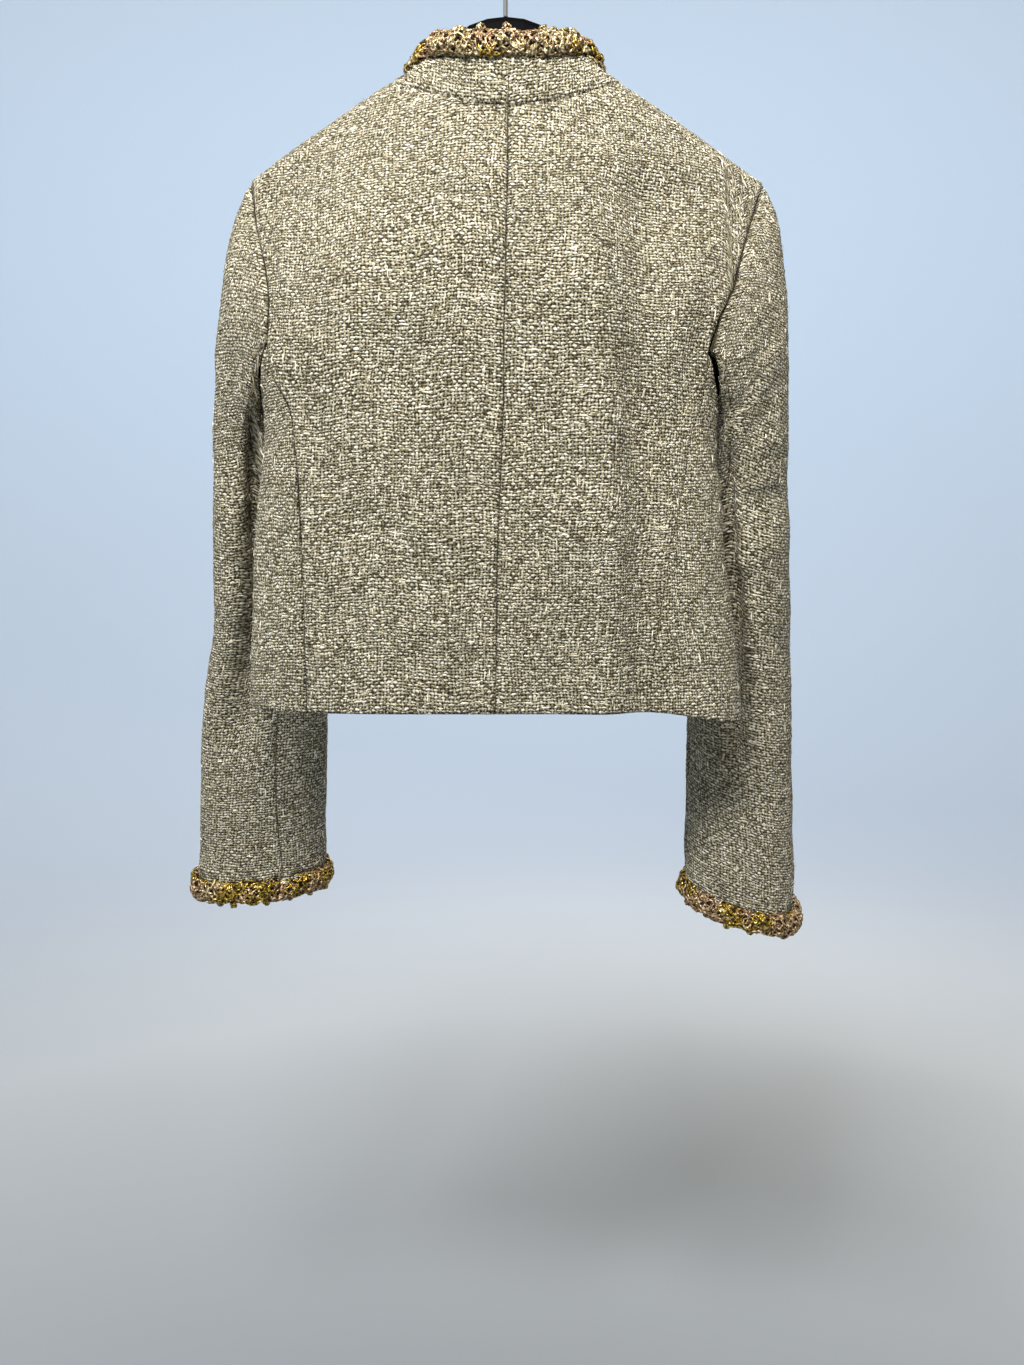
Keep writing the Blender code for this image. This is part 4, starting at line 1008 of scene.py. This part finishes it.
def makeCollar(side):
    downStep, overStep = cloth["collarMarks"]
    rows = fineMarks(collar["rows"], downStep)
    columns = fineMarks(2 * steps["neck"], overStep)
    points = collarGrid(side, rows, columns)
    flat = np.stack([lengthsAlong(points, 1), lengthsAlong(points, 0)], -1)
    away = points - np.array([0.0, collar["axisY"], 0.0])
    away[..., 2] = 0
    edges = {"top": ("sewn", 1.5), "near": ("sewn", 0.2), "far": ("fold", 1.0), "bottom": ("fold", 1.0)}
    makeCloth(f"collar_{side}_cloth", points, flat, away, edges, np.zeros(away.shape[:2]))


patches = []
allowances = []
for side in signs:
    makeTorso(side)
    makeSleeve(side)
    makeCollar(side)
print("cloth:", len(patches), "panels")

# Loose slubs on the weave and a few stray fibres, short bits of yarn that lie on the cloth
slubs = {
    "perSquareMetre": 5500,
    "thickness": 1.3 * mm,
    "length": (3 * mm, 9 * mm),
    "upright": 0.25,  # share that runs along the warp
    "wander": 0.28 * mm,
    "edgeMarks": 3,  # fine marks of a panel that stay free along its edges
    "taper": np.array([0.35, 1, 0.9, 0.3]),
    "sizes": (0.7, 1.15),
    "strayPerSquareMetre": 500,
    "strayThickness": 0.22 * mm,
    "strayTaper": np.array([1, 1, 0.9, 0.8, 0.4]),
    "strayReach": 3.5 * mm,
    "strayArch": np.array([-0.1, 0.6, 1.0, 0.7, 0.2]),
    "strayWander": 0.8,  # in fine marks
}


def newCurves(name, materials):
    lines = bpy.data.curves.new(name, "CURVE")
    lines.dimensions = "3D"
    lines.bevel_depth = 1.0  # so that each point's radius is in metres and the curve's bounds are true
    lines.bevel_resolution = 0
    for material in materials:
        lines.materials.append(material)
    made = bpy.data.objects.new(name, lines)
    scene.collection.objects.link(made)
    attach(made, "root")
    return made


def addLine(lines, points, thickness, closed=False, material=0):
    spline = lines.data.splines.new("POLY")
    spline.points.add(len(points) - 1)
    spline.points.foreach_set("co", np.column_stack([points, np.ones(len(points))]).ravel())
    spline.points.foreach_set("radius", np.zeros(len(points)) + thickness / 2)
    spline.use_cyclic_u = closed
    spline.material_index = material


def onPatch(grid, row, column):
    r = np.clip(row.astype(int), 0, grid.shape[0] - 2)
    c = np.clip(column.astype(int), 0, grid.shape[1] - 2)
    a = (row - r)[:, None]
    b = (column - c)[:, None]
    upper = grid[r, c] * (1 - b) + grid[r, c + 1] * b
    return upper * (1 - a) + (grid[r + 1, c] * (1 - b) + grid[r + 1, c + 1] * b) * a


def scatterSlubs(patch, lines, strays):
    shaped, normal, flat = patch
    free = slubs["edgeMarks"]
    high, wide = np.array(shaped.shape[:2]) - 1
    down = np.linalg.norm(np.diff(shaped, axis=0), axis=-1)
    over = np.linalg.norm(np.diff(shaped, axis=1), axis=-1)
    area = down.sum(axis=0).mean() * over.sum(axis=1).mean()
    count = len(slubs["taper"])
    shares = np.linspace(-0.5, 0.5, count)
    for _ in range(int(area * slubs["perSquareMetre"])):
        row, column = rng.uniform(free, high - free), rng.uniform(free, wide - free)
        length = rng.uniform(*slubs["length"])
        upright = rng.random() < slubs["upright"]
        r, c = int(row), int(column)
        turn = np.linalg.inv(np.stack([flat[r + 1, c] - flat[r, c], flat[r, c + 1] - flat[r, c]], axis=1))
        way = np.stack([rng.normal(0, slubs["wander"], count), shares * length])
        moved = np.clip(turn @ (way if upright else way[::-1]), -free, free)
        points = onPatch(shaped, row + moved[0], column + moved[1])
        addLine(lines, points, slubs["taper"] * slubs["thickness"] * rng.uniform(*slubs["sizes"]))
    count = len(slubs["strayTaper"])
    for _ in range(int(area * slubs["strayPerSquareMetre"])):
        row, column = rng.uniform(free, high - free, count), rng.uniform(free, wide - free, count)
        row = row[0] + rng.normal(0, slubs["strayWander"], count).cumsum()
        column = column[0] + rng.normal(0, slubs["strayWander"], count).cumsum()
        lift = slubs["strayArch"] * slubs["strayReach"] * rng.uniform(0.3, 1)
        points = onPatch(shaped, row, column) + onPatch(normal, row, column) * lift[:, None]
        addLine(strays, points, slubs["strayTaper"] * slubs["strayThickness"])


# Yarns and cords, in short streaks that are dark where they sink in and pale where they catch the light
yarnLooks = {
    # spun cream wool, loosely twisted, so it is matt and lighter than the cloth under it
    "spun_wool_slub": {
        "streak": 6 * mm, "detail": 2.0, "relief": 0, "surface": {"Roughness": 0.9},
        "tones": [(0.30, "#7d7558"), (0.45, "#b5ad92"), (0.55, "#d9d1ba"), (0.68, "#f6f1e2")]},
    # the turned edges of the same tweed inside each seam, matt, and coloured dark as painted shade down
    # inside the seam
    "tweed_edge_painted_shade": {
        "streak": 2.6 * mm, "detail": 2.0, "relief": 0, "surface": {"Roughness": 0.95},
        "tones": [(0.35, "#120e06"), (0.65, "#40361f")]},
    # metallised film plied round cotton; such cord has a ply of about 0.5 mm, drawn coarser to show
    "gold_lurex_cord": {
        "streak": 2.2 * mm, "detail": 1.0, "relief": 0.4 * mm,
        "surface": {"Metallic": 0.7, "Roughness": 0.3},
        "tones": [(0.34, "#392c0a"), (0.46, "#7c651b"), (0.57, "#b39434"), (0.70, "#eed986")]},
    # shiny rayon with a thread of film
    "rosy_rayon_cord": {
        "streak": 2.2 * mm, "detail": 1.0, "relief": 0.4 * mm,
        "surface": {"Metallic": 0.35, "Roughness": 0.42},
        "tones": [(0.34, "#3a2b1b"), (0.46, "#795e40"), (0.57, "#aa8d68"), (0.70, "#eed9b8")]},
    # pale metallised film plied with cream cotton
    "pale_lurex_cord": {
        "streak": 2.2 * mm, "detail": 1.0, "relief": 0.4 * mm,
        "surface": {"Metallic": 0.4, "Roughness": 0.34},
        "tones": [(0.34, "#382d19"), (0.46, "#88784f"), (0.57, "#c4b186"), (0.70, "#fcf2d8")]},
    # a soft core cord under the loops, coloured near black as painted shade between them
    "core_painted_shade": {
        "streak": 2 * mm, "detail": 2.0, "relief": 0, "surface": {"Roughness": 0.85},
        "tones": [(0.35, "#1a1106"), (0.65, "#3f2d14")]},
}


def makeYarn(name):
    look = yarnLooks[name]
    made, tree, shader = newMaterial(name, look["surface"])
    solid = addNode(tree, "ShaderNodeTexCoord").outputs["Object"]
    streaks = {"Vector": solid, "Scale": 1 / look["streak"], "Detail": look["detail"]}
    tone = addNode(tree, "ShaderNodeTexNoise", streaks).outputs[0]
    colour = addNode(tree, "ShaderNodeValToRGB", [tone], look["tones"]).outputs[0]
    tree.links.new(colour, shader.inputs["Base Color"])
    if look["relief"]:
        ply = {"Height": tone, "Distance": look["relief"], "Strength": 0.6}
        bump = addNode(tree, "ShaderNodeBump", ply).outputs[0]
        tree.links.new(bump, shader.inputs["Normal"])
    return made


wool = makeYarn("spun_wool_slub")
slubLines = newCurves("tweed_slubs", [wool])
strayLines = newCurves("tweed_stray_fibres", [wool])
for patch in patches:
    scatterSlubs(patch, slubLines, strayLines)
# the allowance cords carry painted shade, dark inside the seams
seamLines = newCurves("seam_allowances", [makeYarn("tweed_edge_painted_shade")])
for line in allowances:
    addLine(seamLines, line, cloth["seamBulk"])
print("slubs:", len(slubLines.data.splines), "stray fibres:", len(strayLines.data.splines))


# Crocheted edging: rosettes of looped metallic cord round a stuffed core
trims = {
    "cord": 1.9 * mm,
    "cordSizes": (0.85, 1.1),
    "core": 7.8 * mm,
    "coreAt": (5.4 * mm, 12.0 * mm),
    "coreStep": 6 * mm,
    "middle": 9.0 * mm,  # middle of the section, out from the cloth's edge
    "half": (4.9 * mm, 8.2 * mm),  # half its thickness and half its height
    "out": 1.6 * mm,
    # marks along the cloth's edge, and the line just inside it as a share of the sleeve or collar
    "cuffMarks": 120,
    "cuffBefore": 0.97,
    "collarMarks": 100,
    "collarBefore": 0.9,
    # rosettes, in rows at these turns round the section
    "turnsDeg": (-50, -4, 40, 88, 136, 186, 232),
    "spacing": 13 * mm,
    "strays": (1.2 * mm, 0.1),  # how far they sit off their places, along the edge and in radians round it
    "sizes": (0.85, 1.2),
    "petals": 5,
    "petalSize": (4.5 * mm, 3.0 * mm),
    "petalSizes": (0.85, 1.15),
    "petalOut": 1.05,  # in half lengths, so that they leave a small hole
    "petalCup": (1.2 * mm, 0.8 * mm),  # how far petals dip to their tips and twist
    "swell": 2.6 * mm,
    "swellShares": (-0.6, 1),
    "knob": 2.3 * mm,
    "knobRise": (1.3 * mm, 0.5 * mm),
    "knobCord": 1.1,
    # picots, small round knots along the free edge
    "picotSpacing": 21 * mm,
    "picotStray": 4 * mm,
    "picot": 3.1 * mm,
    "picotOut": 2.2 * mm,
    "picotLean": 0.5,
    "picotLoops": 4,
    # shades: they come in patches along the edging, with some petals in the rosy cord
    "goldShare": {"collar_trim": 0.30, "cuff_trim_left": 0.50, "cuff_trim_right": 0.52},
    "paleShare": {"collar_trim": 0.58, "cuff_trim_left": 0.08, "cuff_trim_right": 0.08},
    "patches": (5 * mm, 13 * mm),
    "patchSwing": 0.25,
    "patchStray": 0.18,
    "patchShift": 4 * mm,  # from one row to the next
    "sameShade": 0.8,
}
gold, rosy, pale, coreCord = range(4)  # places of the cords' materials


def makeTrim(name, edge, before, centre, closed):
    # edge is the cloth's edge and before a line just inside it, both on the outer face
    if closed:
        edge, before = (np.concatenate([line, line[:1]]) for line in (edge, before))
    lengths = np.concatenate([[0], np.cumsum(np.linalg.norm(np.diff(edge, axis=0), axis=1))])
    far = unit(edge - before)
    along = np.gradient(edge, axis=0)
    if closed:
        along[0] = along[-1] = edge[1] - edge[-2]
    along = unit(along)
    out = unit(np.cross(along, far))
    out = out * np.sign(np.sum(out * (edge - centre)))
    middle = edge - out * cloth["wall"] / 2
    thick, tall = trims["half"]

    def read(track, at):
        at = np.mod(at, lengths[-1]) if closed else np.clip(at, 0, lengths[-1])
        return np.stack([np.interp(at, lengths, track[:, k]) for k in range(3)], axis=-1)

    made = newCurves(name + "_crochet", cords)
    end = 0 if closed else thick
    free = lengths[-1] - 2 * end
    # the core cords, coloured near black as painted shade between the loops
    for up in trims["coreAt"]:
        marks = np.arange(end, lengths[-1] - end, trims["coreStep"])
        path = read(middle, marks) + read(far, marks) * up + read(out, marks) * trims["out"]
        addLine(made, path, trims["core"], closed, coreCord)
    shade = np.random.default_rng(len(name))

    def pick(at):
        short, long = trims["patches"]
        swing = trims["patchSwing"] * (math.sin(at / short + len(name)) + math.sin(at / long))
        wave = 0.5 + swing + shade.normal(0, trims["patchStray"])
        if wave < trims["goldShare"][name]:
            return gold
        return pale if wave > 1 - trims["paleShare"][name] else rosy

    def ring(at, turn, shape):
        # a closed cord from places along the edging, round it and off its surface
        angle = turn + shape[1] / tall
        where = at + shape[0]
        high = trims["middle"] + (tall + shape[2]) * np.sin(angle)
        deep = trims["out"] + (thick + shape[2]) * np.cos(angle)
        return read(middle, where) + read(far, where) * high[:, None] + read(out, where) * deep[:, None]

    angles = np.linspace(0, 2 * math.pi, 9)[:-1]
    count = int(free / trims["spacing"])
    strayAlong, strayRound = trims["strays"]
    for index, turn in enumerate(math.radians(turn) for turn in trims["turnsDeg"]):
        for k in range(count):
            at = end + (k + 0.5 + 0.5 * (index % 2)) * free / count + shade.normal(0, strayAlong)
            turnHere = turn + shade.normal(0, strayRound)
            material = pick(at + trims["patchShift"] * index)
            start = shade.uniform(0, 2 * math.pi)
            size = shade.uniform(*trims["sizes"])
            rise = trims["swell"] * shade.uniform(*trims["swellShares"])
            for petal in range(trims["petals"]):
                way = start + 2 * math.pi * petal / trims["petals"]
                petalSize = np.array(trims["petalSize"]) * size * shade.uniform(*trims["petalSizes"])
                outward = petalSize[0] * (trims["petalOut"] + np.cos(angles))
                sideways = petalSize[1] * np.sin(angles)
                dip, twist = trims["petalCup"]
                shape = np.stack([
                    outward * math.cos(way) - sideways * math.sin(way),
                    outward * math.sin(way) + sideways * math.cos(way),
                    rise - dip * np.cos(angles) + twist * np.sin(angles + petal),
                ])
                mixed = material if shade.random() < trims["sameShade"] else rosy
                thickness = trims["cord"] * shade.uniform(*trims["cordSizes"])
                addLine(made, ring(at, turnHere, shape), thickness, True, mixed)
            lift = rise + trims["knobRise"][0] + trims["knobRise"][1] * np.sin(2 * angles)
            knob = np.stack([trims["knob"] * np.cos(angles), trims["knob"] * np.sin(angles), lift])
            addLine(made, ring(at, turnHere, knob), trims["cord"] * trims["knobCord"], True, material)
    picots = int(free / trims["picotSpacing"])
    for k in range(picots):
        at = end + (k + 0.5) * free / picots + shade.normal(0, trims["picotStray"])
        spot = np.array([at])
        lean = shade.uniform(-trims["picotLean"], trims["picotLean"])
        heart = read(middle, spot) + read(far, spot) * (trims["middle"] + tall + trims["picotOut"])
        heart = heart + read(out, spot) * (trims["out"] + lean * thick)
        material = pick(at)
        for _ in range(trims["picotLoops"]):
            one = unit(shade.normal(size=3))
            two = unit(np.cross(one, shade.normal(size=3)))
            loop = heart + trims["picot"] * (np.cos(angles)[:, None] * one + np.sin(angles)[:, None] * two)
            addLine(made, loop, trims["cord"], True, material)
    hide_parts(name)
    print(name + ":", len(made.data.splines), "cords")


cordNames = ("gold_lurex_cord", "rosy_rayon_cord", "pale_lurex_cord", "core_painted_shade")
cords = [makeYarn(name) for name in cordNames]
for side in signs:
    base = np.linspace(0, 360, trims["cuffMarks"] + 1)[:-1]
    edge, before = (sleeveRing(side, reach, base)[0] for reach in (1.0, trims["cuffBefore"]))
    makeTrim(f"cuff_trim_{side}", edge, before, edge.mean(axis=0), True)
columns = np.linspace(0, 2 * steps["neck"], trims["collarMarks"] + 1)
rows = np.array([trims["collarBefore"], 1]) * collar["rows"]
halves = [collarGrid(side, rows, columns) for side in signs]
before, edge = (np.concatenate([halves[0][row, ::-1], halves[1][row, 1:]]) for row in (0, 1))
makeTrim("collar_trim", edge, before, np.array([0, collar["axisY"], edge[:, 2].mean()]), False)


# Injection moulded black plastic: the hanger, satin with faint handling marks
hangerLook = {
    "surface": {"Base Color": fromHex("#030304"), "IOR": 1.5, "Specular IOR Level": 0.03},
    "smear": 30 * mm,
    "roughness": (0.55, 0.7),
    "grain": 0.8 * mm,
    "grainHeight": 0.03 * mm,
}


def makeHangerBlack():
    made, tree, shader = newMaterial("moulded_black_plastic", hangerLook["surface"])
    solid = addNode(tree, "ShaderNodeTexCoord").outputs["Object"]
    marks = {"Vector": solid, "Scale": 1 / hangerLook["smear"], "Detail": 3.0}
    smear = addNode(tree, "ShaderNodeTexNoise", marks).outputs[0]
    low, high = hangerLook["roughness"]
    gloss = addNode(tree, "ShaderNodeMapRange", {0: smear, 3: low, 4: high}).outputs[0]
    fine = {"Vector": solid, "Scale": 1 / hangerLook["grain"]}
    grain = addNode(tree, "ShaderNodeTexNoise", fine).outputs[0]
    pitted = {"Height": grain, "Distance": hangerLook["grainHeight"]}
    bump = addNode(tree, "ShaderNodeBump", pitted).outputs[0]
    tree.links.new(gloss, shader.inputs["Roughness"])
    tree.links.new(bump, shader.inputs["Normal"])
    return made


# Drawn steel wire, zinc plated: the hook, grey and softly bright, with fine lines along it
hookLook = {
    "surface": {"Metallic": 1.0},
    "lines": (4000, 4000, 60),  # to the metre, across the wire and along it
    "roughness": (0.2, 0.42),
    "tones": [(0.3, "#6a6d72"), (0.7, "#8f9297")],
}


def makeHookSteel():
    made, tree, shader = newMaterial("drawn_steel_wire", hookLook["surface"])
    solid = addNode(tree, "ShaderNodeTexCoord").outputs["Object"]
    lines = addNode(tree, "ShaderNodeMapping", {"Vector": solid, "Scale": hookLook["lines"]}).outputs[0]
    scratch = addNode(tree, "ShaderNodeTexNoise", {"Vector": lines, "Scale": 1.0}).outputs[0]
    low, high = hookLook["roughness"]
    gloss = addNode(tree, "ShaderNodeMapRange", {0: scratch, 3: low, 4: high}).outputs[0]
    colour = addNode(tree, "ShaderNodeValToRGB", [scratch], hookLook["tones"]).outputs[0]
    tree.links.new(gloss, shader.inputs["Roughness"])
    tree.links.new(colour, shader.inputs["Base Color"])
    return made


for name, material in (("hanger", makeHangerBlack()), ("hanger_hook", makeHookSteel())):
    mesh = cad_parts[name].data
    mesh.materials.clear()
    mesh.materials.append(material)
print("hanger: two materials")

# A pale studio bowl: a floor that curves up into the wall all round
studio = {
    "floorZ": -1.6,
    "floorRadius": 3.2,
    "curve": 2.4,
    "curveSteps": 12,
    "turnSteps": 96,
    "top": 3.6,
    "roughness": 0.9,
    # distance from the hook and colour of the paint, which pales outwards: darkest on the floor under the
    # jacket as a painted soft shadow
    "paintAndShadow": [(1.4, "#7f868e"), (2.4, "#c7d0da"), (3.6, "#d2dcea"), (5.6, "#dae8f7")],
    "world": "#f6dfb0",
    "worldStrength": 0.25,
    # name, place, aim, width, height, spread in degrees, watts, colour
    "lights": [
        ("keyLight", (1.2, 2.6, 2.1), (0, 0, -0.3), 1.2, 0.7, 180, 138, "#fdfcfb"),
        ("fillLight", (-1.2, 2.0, 0.9), (0, 0, -0.4), 1.0, 1.0, 180, 8, "#ffe4ba"),
        ("collarLight", (0.1, 1.25, 0.75), (0, 0, -0.05), 0.4, 0.3, 60, 4.0, "#fffaf2"),
        ("topLight", (0, 0.6, 2.1), (0, 0, -0.2), 1.6, 0.8, 150, 11, "#f6f8fc"),
        ("frontLight", (-0.8, -2.6, 1.0), (0, 0, -0.4), 1.6, 1.4, 180, 33, "#ffe8c6"),
        ("wallLight", (0, -1.6, 2.2), (0, -5.6, 1.9), 3.0, 1.0, 180, 76, "#e8f2ff"),
    ],
}


def makeStudio():
    # half a section from a small hole in the floor out to the curve and up to the top
    shape = bmesh.new()
    bend = []
    for angle in np.linspace(0, math.pi / 2, studio["curveSteps"] + 1):
        reach = studio["floorRadius"] + studio["curve"] * math.sin(angle)
        bend.append((reach, studio["floorZ"] + studio["curve"] * (1 - math.cos(angle))))
    profile = [(mm, studio["floorZ"])] + bend + [(bend[-1][0], studio["top"])]
    points = [shape.verts.new((x, 0, z)) for x, z in profile]
    edges = [shape.edges.new(pair) for pair in zip(points, points[1:])]
    bmesh.ops.spin(shape, geom=points + edges, cent=(0, 0, 0), axis=(0, 0, 1), angle=2 * math.pi,
                   steps=studio["turnSteps"], use_merge=True)
    rims = [edge for edge in shape.edges if edge.is_boundary]
    bmesh.ops.holes_fill(shape, edges=[rim for rim in rims if rim.verts[0].co.z < studio["top"] / 2])
    mesh = bpy.data.meshes.new("studio_bowl")
    shape.to_mesh(mesh)
    shape.free()
    mesh.polygons.foreach_set("use_smooth", np.ones(len(mesh.polygons), bool))
    made = bpy.data.objects.new("studio_bowl", mesh)
    scene.collection.objects.link(made)
    material, tree, shader = newMaterial("matt_studio_paint", {"Roughness": studio["roughness"]})
    # paint colour by distance from the hook, with a painted soft shadow on the floor under the jacket
    solid = addNode(tree, "ShaderNodeTexCoord").outputs["Object"]
    reach = addNode(tree, "ShaderNodeVectorMath", [solid], operation="LENGTH").outputs["Value"]
    low, high = studio["paintAndShadow"][0][0], studio["paintAndShadow"][-1][0]
    share = addNode(tree, "ShaderNodeMapRange", {0: reach, 1: low, 2: high}).outputs[0]
    stops = [((step - low) / (high - low), code) for step, code in studio["paintAndShadow"]]
    colour = addNode(tree, "ShaderNodeValToRGB", [share], stops).outputs[0]
    tree.links.new(colour, shader.inputs["Base Color"])
    mesh.materials.append(material)


def makeLights():
    for name, place, aim, width, height, spread, watts, colour in studio["lights"]:
        light = bpy.data.lights.new(name, "AREA")
        light.shape = "RECTANGLE"
        light.size, light.size_y = width, height
        light.spread = math.radians(spread)
        light.energy = watts
        light.color = fromHex(colour)[:3]
        made = bpy.data.objects.new(name, light)
        made.location = place
        made.rotation_euler = (Vector(aim) - Vector(place)).to_track_quat("-Z", "Y").to_euler()
        scene.collection.objects.link(made)
    world = bpy.data.worlds.new("studioWorld")
    world.use_nodes = True
    sky = world.node_tree.nodes["Background"]
    sky.inputs["Color"].default_value = fromHex(studio["world"])
    sky.inputs["Strength"].default_value = studio["worldStrength"]
    scene.world = world


# The camera stands behind the jacket, at about half its height, and looks slightly down
view = {
    "place": (-0.005, 0.907, -0.518),
    "downDeg": 5.14,
    "lens": 29.0,
    "sensorHeight": 36.0,
    "nearest": 0.05,
}


def makeCamera():
    lens = bpy.data.cameras.new("camera")
    lens.sensor_fit = "VERTICAL"
    lens.sensor_height = view["sensorHeight"]
    lens.lens = view["lens"]
    lens.clip_start = view["nearest"]
    made = bpy.data.objects.new("camera", lens)
    made.location = view["place"]
    made.rotation_euler = (math.radians(90 - view["downDeg"]), 0, math.pi)
    scene.collection.objects.link(made)
    scene.camera = made


makeStudio()
makeLights()
makeCamera()
scene.view_settings.view_transform = "Standard"
print("studio, lights and camera")
